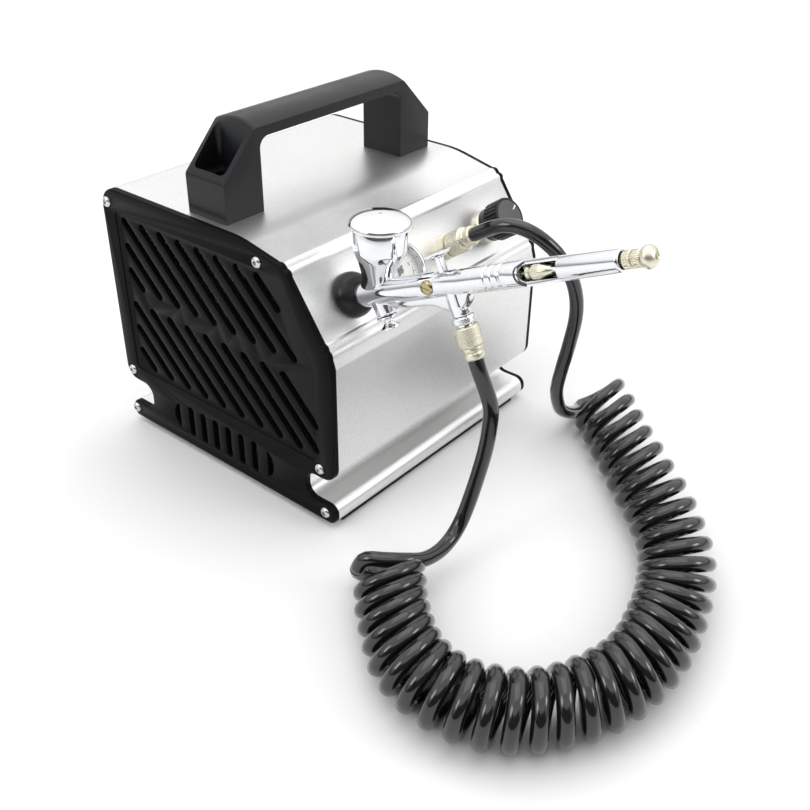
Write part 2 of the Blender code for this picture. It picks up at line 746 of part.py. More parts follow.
def cup():
    """The paint cup: an upright cylinder over a funnel that runs forward into the nose."""
    feed_y, feed_z = -12.2, 111.0
    levels = ((0.0, 2.3, 2.2), (0.30, 3.6, 1.65), (0.62, 6.6, 1.25), (0.88, 9.6, 1.05), (1.0, CUP_R, 1.0))
    floor = CUP_TOP - 10.4
    rings = []
    for share, radius, stretch in levels:
        rings.append(
            cup_ring(feed_y + (CUP_Y - feed_y) * share, feed_z + (floor - feed_z) * share, radius, stretch),
        )
    rings.append(cup_ring(CUP_Y, CUP_TOP, CUP_R))
    rings.append(cup_ring(CUP_Y, CUP_TOP, CUP_R - 0.8))
    rings.append(cup_ring(CUP_Y, floor + 0.5, CUP_R - 0.8))
    rings.append(cup_ring(CUP_Y + 0.6, floor - 3.5, 7.6))
    rings.append(cup_ring(CUP_Y + 1.3, floor - 9.0, 3.4))
    vessel = object_from(skin(rings), "cup", CHROME, (HOLDER_X, CUP_Y, CUP_TOP), smooth=50)
    seat = brush_turned([(-6.0, NOSE_R + GAP), (40.0, NOSE_R + GAP)], 24)
    return cut(vessel, cutter(seat, "cup_seat"))


def cup_lid():
    z = CUP_TOP + GAP
    outer = [(z, LID_R - 0.5, 1), (z + 0.5, LID_R, 1), (z + 1.0, LID_R, 1), (z + 1.7, LID_R - 1.2)]
    outer += [(z + 2.9, LID_R - 4.0), (z + 3.7, LID_R - 7.6), (z + 4.0, 2.4), (z + 4.4, 1.4)]
    lid = turned(outer, (HOLDER_X, CUP_Y, 0), (0, 0, 1), 48, wave=ribbed(0.02))
    obj = object_from(lid, "cup_lid", CHROME, (HOLDER_X, CUP_Y, CUP_TOP), smooth=50)
    plug = turned([(z - 2.4, CUP_R - 1.4), (z + 0.2, CUP_R - 1.2)], (HOLDER_X, CUP_Y, 0), (0, 0, 1), 32)
    join(obj, cutter(plug, "lid_plug"))
    return cut(
        obj, cutter(turned([(z - 4, 0.6), (z + 6, 0.6)], (HOLDER_X, CUP_Y, 0), (0, 0, 1), 8), "lid_vent"),
    )


def trigger():
    """A finger pad on a stem that stands in the barrel's slot, forked over the needle."""
    half_stem = 1.45
    foot = [
        (TRIGGER_T - 1.5, -0.7), (TRIGGER_T + 1.5, -0.7), (TRIGGER_T + 1.4, 10.8), (TRIGGER_T - 1.6, 10.8),
    ]
    stem = skin([[on_brush(t, u, s) for t, u in foot] for s in (-half_stem, half_stem)])
    obj = object_from(stem, "trigger", CHROME, on_brush(TRIGGER_T, -0.7))
    fork = [(TRIGGER_T - 4.0, -3.0), (TRIGGER_T + 4.0, -3.0), (TRIGGER_T + 4.0, 4.6), (TRIGGER_T - 4.0, 4.6)]
    cut(obj, cutter(skin([[on_brush(t, u, s) for t, u in fork] for s in (-0.85, 0.85)]), "trigger_fork"))
    rings = []
    for k in range(9):
        share = k / 4 - 1
        side = share * 6.2
        half = 3.6 * math.sqrt(max(0.12, 1 - 0.8 * share * share))
        dip = 0.9 * share * share
        ring = [
            (-half, 10.2 + dip),
            (half, 10.2 + dip),
            (half, 11.6 + dip),
            (0.0, 11.2 + dip),
            (-half, 11.8 + dip),
        ]
        rings.append([on_brush(TRIGGER_T - 0.2 + t, u, side) for t, u in ring])
    return join(obj, cutter(skin(rings), "trigger_pad"))


def valve_stem():
    shape = [(1.0, 1.5), (4.0, 1.5), (4.0, 1.2), (10.2, 1.2)]
    return object_from(down_turned(shape, TRIGGER_T, 12), "valve_stem", STEEL, on_brush(TRIGGER_T))


def air_valve():
    """Threaded under the body, with a knurled collar; the hose nut screws on below it."""
    shape = [(13.2, 3.9), (13.6, 4.7, 1), (15.6, 4.7, 1), (16.0, 4.0), (16.6, 3.2), (20.0, 3.2)]
    return object_from(
        down_turned(shape, VALVE_T, 36, wave=ribbed(0.05)), "air_valve", CHROME, on_brush(VALVE_T),
    )


def hose_nut_airbrush():
    shape = [(17.4, 4.6), (18.0, 5.1, 1), (25.2, 5.1, 1), (26.0, 4.5), (26.0, 4.0), (30.2, 4.0), (30.8, 3.7)]
    obj = object_from(
        down_turned(shape, VALVE_T, 36, wave=ribbed(0.04)), "hose_nut_airbrush", NICKEL, on_brush(VALVE_T)
    )
    return cut(obj, cutter(down_turned([(16.0, 3.55), (20.4, 3.55)], VALVE_T, 14), "brush_nut_bore"))


def air_screw():
    """The little thumb screw under the nose that trims the air."""
    shape = [
        (6.0, 1.2), (9.9, 1.2), (9.9, 4.2), (10.9, 4.2), (11.1, 1.7), (12.6, 1.6), (14.2, 3.6), (14.8, 3.8),
    ]
    return object_from(down_turned(shape, AIR_SCREW_T, 18), "air_screw", CHROME, on_brush(AIR_SCREW_T))


def needle():
    shape = [(-15.5, 0.12), (-6.0, 0.55), (119.0, 0.55), (119.5, 0.4)]
    return object_from(brush_turned(shape, 8), "needle", STEEL, on_brush(0))


def needle_chuck():
    """The spring guide and the knurled nut that grips the needle, seen through the rear window."""
    shape = [(BARREL_END + 6.6, 3.0), (91.0, 3.0), (91.0, 2.2), (92.5, 2.2), (92.5, 2.9, 1), (97.5, 2.9, 1)]
    shape += [(98.0, 2.6), (102.0, 1.5), (102.4, 1.2)]
    bore = [(BARREL_END + 6.6, 0.9), (102.4, 0.9)]
    return object_from(brush_turned(shape, 24, bore, ribbed(0.08)), "needle_chuck", CHROME, on_brush(92))


def rear_handle():
    outer = [(BARREL_END - 3.2, 5.1), (84.0, 5.1), (SHELL_END - 0.8, TAIL_R), (SHELL_END, TAIL_R - 0.5)]
    bore = [(BARREL_END - 3.2, 4.3), (87.0, 4.3), (112.0, 3.5), (SHELL_END, 3.3)]
    shell = object_from(brush_turned(outer, 28, bore), "rear_handle", CHROME, on_brush(84))
    opening = ((86.5, -9), (102.5, -9), (102.5, 3.2), (86.5, 3.2))
    window = skin([[on_brush(t, u, s) for t, u in opening] for s in (-9, -1.6)])
    return cut(shell, cutter(window, "rear_window"))


def tail_knob():
    shape = [
        (121.5, 2.9),
        (126.0, 2.9),
        (126.6, 2.9, 1),
        (132.2, 2.9, 1),
        (132.6, 2.4),
        (133.2, 3.3),
        (135.6, 3.7),
    ]
    shape += [(137.4, 3.2), (138.4, 2.1)]
    obj = object_from(brush_turned(shape, 24, wave=ribbed(0.07)), "tail_knob", CHROME, on_brush(130))
    cut(obj, cutter(brush_turned([(120.0, 1.1), (131.0, 1.1)], 10), "tail_bore"))
    return cut(obj, cutter(brush_turned([(136.4, 0.9), (140.0, 0.9)], 10), "tail_dimple"))


def side_screw():
    origin = on_brush(40.6, 0.6)
    shape = [(3.4, 1.35), (5.7, 1.35), (5.7, 3.9), (6.2, 3.8), (7.0, 2.6), (7.3, 1.2)]
    return object_from(turned(shape, origin, (-1, 0, 0), 18), "side_screw", BRASS, origin)


# ---------------------------------------------------------------- motor and pump


def motor():
    axis = (1, 0, 0)
    centre = (0, SHAFT_Y, SHAFT_Z)
    frame = rounded(
        [(SHAFT_Y + a * 30, SHAFT_Z + b * 30, 8.0) for a, b in ((-1, -1), (1, -1), (1, 1), (-1, 1))], steps=3,
    )
    stator = object_from(prism_x(frame, -40.0, -4.0), "motor_stator", STEEL)
    join(stator, cutter(turned([(-50.0, 25.0), (6.0, 25.0)], centre, axis, 28), "stator_windings"))
    cut(stator, cutter(turned([(-60.0, 17.0), (20.0, 17.0)], centre, axis, 28), "stator_bore"))
    rotor_shape = [
        (-66.0, 2.6), (-38.0, 3.0), (-38.0, 16.4), (-6.0, 16.4), (-6.0, 3.0), (27.0, 3.0), (28.0, 2.6),
    ]
    object_from(turned(rotor_shape, centre, axis, 24), "motor_rotor", STEEL, centre)
    fan = object_from(turned([(-66.0, 6.0), (-54.0, 6.5)], centre, axis, 20), "cooling_fan", BLACK, centre)
    blades = []
    for k in range(7):
        angle = 2 * math.pi * k / 7
        turn = Matrix.Translation(Vector(centre)) @ Matrix.Rotation(angle, 4, "X")
        ring = [(-65.0, 1.6), (-64.0, 2.4), (-55.0, -1.4), (-56.0, -2.2)]
        blades.append(skin([[turn @ Vector((x, y, r)) for x, y in ring] for r in (4.0, 15.0, 26.0)]))
    join(fan, cutter(many(blades), "fan_blades"))
    cut(fan, cutter(turned([(-70, 3.3), (-50, 3.3)], centre, axis, 14), "fan_bore"))
    tray = box((-52.0, 60.0), (SHAFT_Y - 38, SHAFT_Y + 38), (6.2, 19.6))
    bracket = object_from(tray, "motor_frame", ALUMINIUM)
    cut(bracket, cutter(box((-49.0, 57.0), (SHAFT_Y - 34, SHAFT_Y + 34), (8.4, 24.0)), "frame_tray"))
    join(bracket, cutter(box((12.0, 16.0), (SHAFT_Y - 30, SHAFT_Y + 30), (7.0, 84.0)), "frame_upright"))
    join(bracket, cutter(box((15.0, 60.0), (SHAFT_Y - 22, SHAFT_Y + 22), (80.0, 84.0)), "pump_shelf"))
    cut(bracket, cutter(turned([(4.0, 3.4), (24.0, 3.4)], centre, axis, 16), "bracket_bearing_hole"))
    cut(bracket, cutter(turned([(70, 14.2), (94, 14.2)], (PUMP_X, SHAFT_Y, 0), (0, 0, 1), 24), "shelf_hole"))
    disc = turned([(28.4, 12.0), (35.0, 12.0)], centre, axis, 24)
    crank = object_from(disc, "crank_disc", STEEL, centre)
    pin = turned([(34.0, 3.0), (46.5, 3.0)], (0, SHAFT_Y, SHAFT_Z + CRANK_THROW), axis, 14)
    join(crank, cutter(pin, "crank_pin"))


def pump():
    up = (0, 0, 1)
    place = (PUMP_X, SHAFT_Y, 0)
    pin_z = SHAFT_Z + CRANK_THROW
    eye = turned([(PUMP_X - 4.5, 10.8), (PUMP_X + 4.5, 10.8)], (0, SHAFT_Y, pin_z), (1, 0, 0), 20)
    rod = object_from(eye, "connecting_rod", ALUMINIUM, (PUMP_X, SHAFT_Y, pin_z))
    join(
        rod,
        cutter(box((PUMP_X - 3, PUMP_X + 3), (SHAFT_Y - 4, SHAFT_Y + 4), (pin_z + 8, 90.0)), "rod_shank"),
    )
    piston = [(88.0, 9.0), (89.0, 10.6), (94.0, 10.6), (95.0, 9.8)]
    join(rod, cutter(turned(piston, place, up, 24), "rod_piston"))
    cut(rod, cutter(turned([(30, 7.7), (50, 7.7)], (0, SHAFT_Y, pin_z), (1, 0, 0), 16), "rod_bearing"))
    barrel = [(84.0 + GAP, 15.6), (106.0, 15.6)]
    object_from(turned(barrel, place, up, 28, [(84.0 + GAP, 13.2), (106.0, 13.2)]), "cylinder", ALUMINIUM)
    head = [(106.0 + GAP, 17.0), (113.0, 17.0), (114.0, 16.0)]
    object_from(turned(head, place, up, 28), "cylinder_head", ALUMINIUM)


def smooth_path(points, count):
    """Points evenly spaced along a Catmull-Rom curve through points."""
    knots = [np.array(p, float) for p in points]
    knots = [2 * knots[0] - knots[1]] + knots + [2 * knots[-1] - knots[-2]]
    fine = []
    for a, b, c, d in zip(knots, knots[1:], knots[2:], knots[3:]):
        for k in range(24):
            t = k / 24
            square = 2 * a - 5 * b + 4 * c - d
            cube = 3 * b - a - 3 * c + d
            fine.append(0.5 * (2 * b + (c - a) * t + square * t**2 + cube * t**3))
    fine = np.array(fine + [knots[-2]])
    steps = np.linalg.norm(np.diff(fine, axis=0), axis=1)
    travel = np.concatenate([[0.0], np.cumsum(steps)])
    wanted = np.linspace(0, travel[-1], count)
    return np.stack([np.interp(wanted, travel, fine[:, i]) for i in range(3)], 1)


def tube(name, points, radius, count, look, resolution=3):
    """A round tube along a smooth curve through points, as a curve object with filled caps."""
    data = bpy.data.curves.new(name, "CURVE")
    data.dimensions = "3D"
    data.bevel_depth = radius * MM
    data.bevel_resolution = resolution
    data.use_fill_caps = True
    spline = data.splines.new("POLY")
    path = smooth_path(points, count) * MM
    spline.points.add(count - 1)
    for point, place in zip(spline.points, path):
        point.co = (*place, 1.0)
    spline.use_smooth = True
    data.materials.append(material(name, look))
    obj = bpy.data.objects.new(name, data)
    bpy.context.scene.collection.objects.link(obj)
    return obj


def air_line():
    """The pipe from the cylinder head forward to the regulator."""
    start = (PUMP_X, SHAFT_Y - 17.6, 110.0)
    end = on_panel(KNOB_X, PANEL_ROW, -20.6)
    before = on_panel(KNOB_X, PANEL_ROW, -23.0)
    return tube(
        "air_line",
        [start, (PUMP_X, 38.0, 109.6), (PUMP_X + 2.5, 31.0, 103.0), before, end],
        2.2,
        14,
        COPPER,
        2,
    )


# ---------------------------------------------------------------- mains side, at the back


def power_inlet():
    """The moulded unit in the back wall: a mains socket below and the frame of the rocker switch above."""
    back = BACK + GAP
    unit = object_from(box((27.0, 65.0), (back, back + 1.6), (41.0, 79.0)), "power_inlet", BLACK)
    join(unit, cutter(box((30.4, 61.6), (BACK - 16.0, back + 0.5), (44.4, 75.6)), "inlet_body"))
    socket = rounded([(35.0, 47.0, 2.5), (57.0, 47.0, 2.5), (57.0, 56.0, 2.5), (35.0, 56.0, 2.5)], steps=3)
    hole = skin([[(x, y, z) for x, z in socket] for y in (BACK - 12.0, back + 4.0)])
    cut(unit, cutter(hole, "inlet_socket"))
    return cut(unit, cutter(box((38.0, 54.0), (BACK - 12.0, back + 4.0), (61.0, 73.0)), "inlet_window"))


def power_rocker():
    """The rocker of the on-off switch, pivoted across its middle."""
    pivot = (46.0, BACK - 3.0, 67.0)
    side = [
        (62.2, BACK + 2.2), (67.0, BACK + 1.0), (71.8, BACK + 0.6), (71.0, BACK - 6.0), (63.0, BACK - 6.0),
    ]
    shape = skin([[(x, y, z) for z, y in side] for x in (38.6, 53.4)])
    return object_from(shape, "power_rocker", BLACK, pivot)


# ---------------------------------------------------------------- hose

LEAD_OUT = [
    (16.6, -28.0, 124.4),
    (18.4, -36.5, 124.4),
    (21.5, -44.0, 121.4),
    (28.0, -52.5, 111.6),
    (34.0, -57.5, 98.0),
    (37.5, -58.6, 83.0),
    (38.0, -56.6, 66.0),
    (39.0, -53.4, 50.5),
    (43.0, -49.6, 35.0),
    (50.6, -47.4, 21.0),
    (58.0, -47.4, 12.2),
    (64.0, -48.4, 7.0),
    (70.4, -50.6, 4.2),
    (76.0, -54.0, 3.5),
    (78.5, -58.8, 3.6),
    (76.4, -63.4, 4.0),
    (73.1, -67.2, 4.3),
]
COIL_PATH = [
    (69.0, -64.0, COIL_Z),
    (62.0, -72.0, COIL_Z),
    (51.3, -83.4, COIL_Z),
    (41.7, -94.7, COIL_Z),
    (32.3, -104.7, COIL_Z),
    (24.4, -114.2, COIL_Z),
    (16.7, -123.0, COIL_Z),
    (7.9, -131.4, COIL_Z),
    (-0.9, -139.3, COIL_Z),
    (-10.4, -145.7, COIL_Z),
    (-21.0, -151.0, COIL_Z),
    (-33.5, -155.6, COIL_Z),
    (-46.5, -158.8, COIL_Z),
    (-60.0, -160.8, COIL_Z),
    (-72.0, -161.2, COIL_Z),
    (-85.0, -159.4, COIL_Z),
    (-98.0, -154.6, COIL_Z),
    (-110.0, -147.4, COIL_Z),
    (-119.6, -138.5, COIL_Z),
    (-125.6, -127.5, COIL_Z),
    (-128.3, -116.0, COIL_Z),
    (-127.6, -103.6, COIL_Z),
    (-123.0, -91.6, COIL_Z),
    (-115.6, -81.4, COIL_Z),
    (-107.6, -72.0, COIL_Z),
    (-100.6, -65.0, COIL_Z),
]
LEAD_IN = [
    (-108.8, -55.2, 16.0),
    (-106.9, -53.3, 16.2),
    (-104.2, -50.9, 19.2),
    (-99.8, -50.6, 25.8),
    (-94.0, -55.6, 29.3),
    (-87.4, -61.4, 26.0),
    (-81.2, -64.4, 19.6),
    (-72.0, -66.3, 13.0),
    (-61.6, -66.2, 11.8),
    (-53.0, -65.7, 17.0),
    (-47.0, -65.3, 29.0),
    (-43.6, -65.6, 45.0),
    (-43.6, -67.6, 62.0),
    (-45.8, -70.0, 78.0),
]


def hose():
    """Black polyurethane curly hose: two plain ends and the coiled length as one fat tube."""
    start = [tuple(on_panel(OUTLET_X, PANEL_ROW, height)) for height in (19.3, 25.0)]
    tube("hose_lead_out", start + LEAD_OUT, HOSE_R, 56, HOSE)
    tube("hose_coil", COIL_PATH, COIL_R, 44, HOSE, 4)
    end = [tuple(on_brush(VALVE_T, -drop)) for drop in (37.0, 31.2)]
    tube("hose_lead_in", LEAD_IN + end, HOSE_R, 44, HOSE)


def build():
    clear_scene()
    case_shell()
    end_plate("end_plate_left", -1)
    end_plate("end_plate_right", 1)
    for side, sign in (("left", -1), ("right", 1)):
        for number, (y, z, _) in enumerate(PLATE_SCREWS, 1):
            plate_screw(f"plate_screw_{side}_{number}", sign, y, z)
    foot_strip("foot_front", FRONT + 3.0, FRONT + 14.0)
    foot_strip("foot_back", BACK - 14.0, BACK - 3.0)
    carry_handle()
    for side, (x, y) in zip(("left", "right"), handle_screw_places()):
        handle_screw(f"handle_screw_{side}", x, y)
    holder_ring()
    gauge()
    regulator()
    outlet()
    airbrush_body()
    nozzle_cap()
    cup()
    cup_lid()
    trigger()
    valve_stem()
    air_valve()
    hose_nut_airbrush()
    air_screw()
    needle()
    needle_chuck()
    rear_handle()
    tail_knob()
    side_screw()
    motor()
    pump()
    air_line()
    power_inlet()
    power_rocker()
    hose()


build()
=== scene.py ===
"""Looks for the airbrush compressor: fine versions of every visible piece, the curly hose turn by turn,
procedural materials, and a pale studio.

Lengths are in millimetres until a mesh is made. The frame is the CAD's: X along the case, -Y the front with
the slanted panel, +Z up, z = 0 the surface that everything stands on.
"""

import math

import bmesh
import bpy
import numpy as np
from mathutils import Matrix, Vector


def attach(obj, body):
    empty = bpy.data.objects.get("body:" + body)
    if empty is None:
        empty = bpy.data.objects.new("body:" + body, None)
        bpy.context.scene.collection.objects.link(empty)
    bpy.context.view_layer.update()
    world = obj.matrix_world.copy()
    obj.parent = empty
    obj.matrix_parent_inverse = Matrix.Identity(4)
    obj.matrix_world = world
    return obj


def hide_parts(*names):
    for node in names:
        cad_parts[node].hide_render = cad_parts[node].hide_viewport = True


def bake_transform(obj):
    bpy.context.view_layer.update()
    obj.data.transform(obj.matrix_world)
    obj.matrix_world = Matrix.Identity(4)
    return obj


MM = 0.001

# case
CASE_LENGTH = 150.0
PLATE = 3.0
WALL = 2.2
FOOT_HEIGHT = 3.0
FRONT, BACK, TOP = -11.8, 131.7, 127.8
NOTCH_DEPTH = 18.0
NOTCH_LOW, NOTCH_HIGH = 12.3, 26.0
PANEL_LEAN = math.radians(35.0)
PANEL_TOP = (10.8, 118.5)
PANEL_BREAK = 86.2
RIDGE = (13.2, 122.0)
SHOULDER = 39.7
RIB_RISE = 0.9
PANEL_ROW = 17.3
PRINT = 4.02  # height of the gauge's printing
HOLDER_X, GAUGE_X, OUTLET_X, KNOB_X = -48.0, -20.5, 16.0, 47.0
PLATE_SCREWS = ((128.0, 120.4), (28.6, 120.3), (127.1, 31.2), (-2.9, 30.7), (128.6, 7.7), (-5.4, 7.7))

# grille
SLOT = 4.4
FIRST_SLOT_FALL = 11.0
FIRST_SLOT_Y = 35.0
SLOT_PITCH = 12.5
SLOT_ROWS = ((79.4, 115.6), (36.0, 73.0))
SLOT_FIELD_BACK = 119.2
LOUVRE = 4.0
LOUVRE_PITCH = 8.9
LOUVRE_Z = (9.3, 26.4)
LOUVRE_CENTRE = 61.7

# handle
HANDLE_X = (-68.9, 66.0)
HANDLE_Y = (52.0, 76.1)
HANDLE_TOP = 164.7
HANDLE_CROWN = 2.6
LEG = 21.5
LEG_SHOULDER = 145.3
GRIP = 4.4
POCKET_WALL = 2.4
POCKET_FLOOR = 144.5
SCREW_SEAT = 133.0
HANDLE_SCREW_IN = 11.5

# airbrush
BRUSH_LIFT = math.radians(23.8)
BRUSH_ORIGIN = Vector((HOLDER_X, -5.9, 106.8))
BRUSH_AXIS = Vector((0.0, -math.cos(BRUSH_LIFT), math.sin(BRUSH_LIFT)))
BRUSH_UP = Vector((0.0, math.sin(BRUSH_LIFT), math.cos(BRUSH_LIFT)))
NOSE_R, BARREL_R, TAIL_R = 5.35, 4.95, 3.9
TRIGGER_T = 47.0
WELL_HALF = 1.9
VALVE_T = 49.7
AIR_SCREW_T = 9.4
CUP_Y, CUP_TOP, CUP_R, LID_R = -15.0, 140.6, 10.9, 13.0

# hose
HOSE_D = 6.5
COIL_MEAN_R = 12.75
COIL_Z = 16.1
COIL_SETTLE = np.array((0.9, 0.7, -1.0))  # how a leaning ring slips sideways as it sinks
TURN_POINTS = 18

# the unlit side of the studio, which chrome and black plastic mirror
DARK_SIDE = (-0.77, -0.63, 0.0)

# camera: its place, its turn in degrees and its lens
CAMERA_PLACE = (-333.7, -262.9, 300.7)
CAMERA_AZIMUTH, CAMERA_ELEVATION, CAMERA_ROLL = 219.331, 32.870, 0.757
CAMERA_LENS = 45.84

PANEL_OUT = Vector((0.0, -math.cos(PANEL_LEAN), math.sin(PANEL_LEAN)))
PANEL_RIGHT = Vector((1.0, 0.0, 0.0))
PANEL_UP = PANEL_OUT.cross(PANEL_RIGHT)

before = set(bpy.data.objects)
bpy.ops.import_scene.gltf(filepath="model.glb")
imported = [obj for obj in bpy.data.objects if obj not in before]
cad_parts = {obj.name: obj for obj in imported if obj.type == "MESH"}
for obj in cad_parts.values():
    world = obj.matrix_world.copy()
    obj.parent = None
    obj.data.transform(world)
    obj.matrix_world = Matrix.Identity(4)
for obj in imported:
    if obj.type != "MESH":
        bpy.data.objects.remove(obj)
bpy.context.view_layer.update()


# ---------------------------------------------------------------- shapes


def on_panel(x, down, height=0.0):
    y = PANEL_TOP[0] - math.sin(PANEL_LEAN) * down - math.cos(PANEL_LEAN) * height
    z = PANEL_TOP[1] - math.cos(PANEL_LEAN) * down + math.sin(PANEL_LEAN) * height
    return Vector((x, y, z))


def on_dial(base, angle, radius, height):
    """A point round an axis that stands on the panel at base, its angle clockwise from straight up."""
    turn = math.radians(angle)
    return base + PANEL_OUT * height + (PANEL_RIGHT * math.sin(turn) + PANEL_UP * math.cos(turn)) * radius


def on_brush(along, up=0.0, side=0.0):
    return BRUSH_ORIGIN + BRUSH_AXIS * along + BRUSH_UP * up + Vector((side, 0.0, 0.0))


def arc(centre, radius, start, end, steps):
    angles = np.radians(np.linspace(start, end, steps + 1))
    return [(centre[0] + radius * math.cos(a), centre[1] + radius * math.sin(a)) for a in angles]


def rounded(corners, steps):
    """A closed outline through corners (a, b, radius), with each corner filleted."""
    outline = []
    count = len(corners)
    for i, (a, b, radius) in enumerate(corners):
        here = np.array((a, b))
        before = np.array(corners[i - 1][:2]) - here
        after = np.array(corners[(i + 1) % count][:2]) - here
        before /= np.linalg.norm(before)
        after /= np.linalg.norm(after)
        half = math.acos(max(-1.0, min(1.0, float(before @ after)))) / 2
        if radius <= 0:
            outline.append(tuple(here))
            continue
        middle = before + after
        middle /= np.linalg.norm(middle)
        centre = here + middle * radius / math.sin(half)
        first = here + before * radius / math.tan(half) - centre
        last = here + after * radius / math.tan(half) - centre
        begin = math.atan2(first[1], first[0])
        sweep = math.atan2(last[1], last[0]) - begin
        sweep = (sweep + math.pi) % (2 * math.pi) - math.pi
        for k in range(steps + 1):
            angle = begin + sweep * k / steps
            outline.append((centre[0] + radius * math.cos(angle), centre[1] + radius * math.sin(angle)))
    return outline


def inset(outline, amount):
    points = np.array(outline)
    before = points - np.roll(points, 1, axis=0)
    after = np.roll(points, -1, axis=0) - points
    normal_in = np.stack([-before[:, 1], before[:, 0]], 1)
    normal_out = np.stack([-after[:, 1], after[:, 0]], 1)
    normal_in /= np.linalg.norm(normal_in, axis=1)[:, None]
    normal_out /= np.linalg.norm(normal_out, axis=1)[:, None]
    middle = normal_in + normal_out
    middle /= np.linalg.norm(middle, axis=1)[:, None]
    reach = amount / (middle * normal_in).sum(1)
    return [tuple(p) for p in points + middle * reach[:, None]]


def skin(rings, closed=False):
    """A solid from rings of points with the same count."""
    bm = bmesh.new()
    rows = [[bm.verts.new(point) for point in ring] for ring in rings]
    count = len(rows[0])
    pairs = list(zip(rows, rows[1:]))
    if closed:
        pairs.append((rows[-1], rows[0]))
    for low, high in pairs:
        for i in range(count):
            j = (i + 1) % count
            bm.faces.new((low[i], low[j], high[j], high[i]))
    if not closed:
        bm.faces.new(rows[0][::-1])
        bm.faces.new(rows[-1])
    return bm


def prism_x(outline, x0, x1):
    return skin([[(x, y, z) for y, z in outline] for x in (x0, x1)])


def brush_slab(outline, half):
    """An outline in the airbrush's middle plane, made thick by half to each side."""
    return skin([[on_brush(along, up, side) for along, up in outline] for side in (-half, half)])


def dial_mark(base, angle, outline, low, high):
    """A flat mark round an axis on the panel, from an outline in (across, outward)."""
    outward = on_dial(base, angle, 1.0, 0.0) - base
    across = PANEL_OUT.cross(outward)
    corners = [base + across * a + outward * b for a, b in outline]
    return skin([[corner + PANEL_OUT * height for corner in corners] for height in (low, high)])


def box(x, y, z):
    bm = bmesh.new()
    bmesh.ops.create_cube(bm, size=1.0)
    bmesh.ops.scale(bm, verts=bm.verts, vec=(x[1] - x[0], y[1] - y[0], z[1] - z[0]))
    bmesh.ops.translate(bm, verts=bm.verts, vec=((x[0] + x[1]) / 2, (y[0] + y[1]) / 2, (z[0] + z[1]) / 2))
    return bm


def axes_of(axis):
    axis = Vector(axis).normalized()
    side = axis.orthogonal() if abs(axis.x) > 0.9 else Vector((1.0, 0.0, 0.0)) - axis * axis.x
    side.normalize()
    return side, axis.cross(side)


def turned(profile, origin, axis, sides, bore=None, relief=None):
    """A turned solid from (height, radius) pairs. relief(angle, height) gives the share of the radius at
    the points of the profile that carry a third value."""
    origin = Vector(origin)
    side, other = axes_of(axis)
    axis = Vector(axis).normalized()

    def ring(point):
        height, radius = point[:2]
        shaped = relief and len(point) > 2
        points = []
        for k in range(sides):
            angle = 2 * math.pi * k / sides
            reach = radius * (relief(angle, height) if shaped else 1.0)
            spoke = side * math.cos(angle) + other * math.sin(angle)
            points.append(origin + axis * height + spoke * reach)
        return points

    rings = [ring(p) for p in profile]
    if bore:
        rings += [ring(p) for p in reversed(bore)]
        return skin(rings, closed=True)
    return skin(rings)


def eased(points, each, sharp):
    """A finer profile: the same points with their corners eased into short curves."""
    points = [np.array(p[:2], float) for p in points]
    fine = [tuple(points[0])]
    for before, here, after in zip(points, points[1:], points[2:]):
        reach_in = min(sharp, np.linalg.norm(before - here) * 0.45)
        reach_out = min(sharp, np.linalg.norm(after - here) * 0.45)
        start = here + (before - here) / np.linalg.norm(before - here) * reach_in
        end = here + (after - here) / np.linalg.norm(after - here) * reach_out
        for k in range(each + 1):
            t = k / each
            fine.append(tuple((1 - t) ** 2 * start + 2 * t * (1 - t) * here + t**2 * end))
    fine.append(tuple(points[-1]))
    return fine


def band(start, end, radius, step=0.22):
    """Profile points of a knurled or ribbed band."""
    count = max(2, int(round((end - start) / step)))
    return [(start + (end - start) * k / count, radius, 1) for k in range(count + 1)]


def diamond(count, pitch, depth):
    """Diamond knurling: two crossed sets of grooves."""

    def share(angle, height):
        turn = angle / (2 * math.pi) * count
        first = abs((turn + height / pitch) % 1.0 - 0.5) * 2
        second = abs((turn - height / pitch) % 1.0 - 0.5) * 2
        return 1.0 - depth * max(0.0, 1.0 - min(first, second) * 2.4)

    return share


def ribs(count, depth, fill=0.62):
    """Straight ribs round a knob, with fill the share of each pitch that is rib."""

    def share(angle, _height):
        place = abs((angle / (2 * math.pi) * count) % 1.0 - 0.5) * 2
        return 1.0 - depth * max(0.0, min(1.0, (place - fill) / 0.16))

    return share


def solid(bm, name):
    """An object in metres from a bmesh in millimetres."""
    bmesh.ops.recalc_face_normals(bm, faces=bm.faces)
    bmesh.ops.scale(bm, verts=bm.verts, vec=(MM, MM, MM))
    mesh = bpy.data.meshes.new(name)
    bm.to_mesh(mesh)
    bm.free()
    obj = bpy.data.objects.new(name, mesh)
    bpy.context.scene.collection.objects.link(obj)
    return obj


def settle(obj):
    """Applies an object's modifiers to its mesh."""
    graph = bpy.context.evaluated_depsgraph_get()
    graph.update()
    mesh = bpy.data.meshes.new_from_object(obj.evaluated_get(graph))
    obj.modifiers.clear()
    obj.data = mesh
    return obj


def combine(obj, tool_bm, operation="DIFFERENCE"):
    tool = solid(tool_bm, "tool")
    modifier = obj.modifiers.new("cut", "BOOLEAN")
    modifier.operation = operation
    modifier.solver = "EXACT"
    modifier.object = tool
    settle(obj)
    bpy.data.objects.remove(tool)
    return obj


def bevelled(obj, width, segments=2, angle=32.0):
    modifier = obj.modifiers.new("edges", "BEVEL")
    modifier.width = width * MM
    modifier.segments = segments
    modifier.limit_method = "ANGLE"
    modifier.angle_limit = math.radians(angle)
    modifier.harden_normals = False
    return settle(obj)


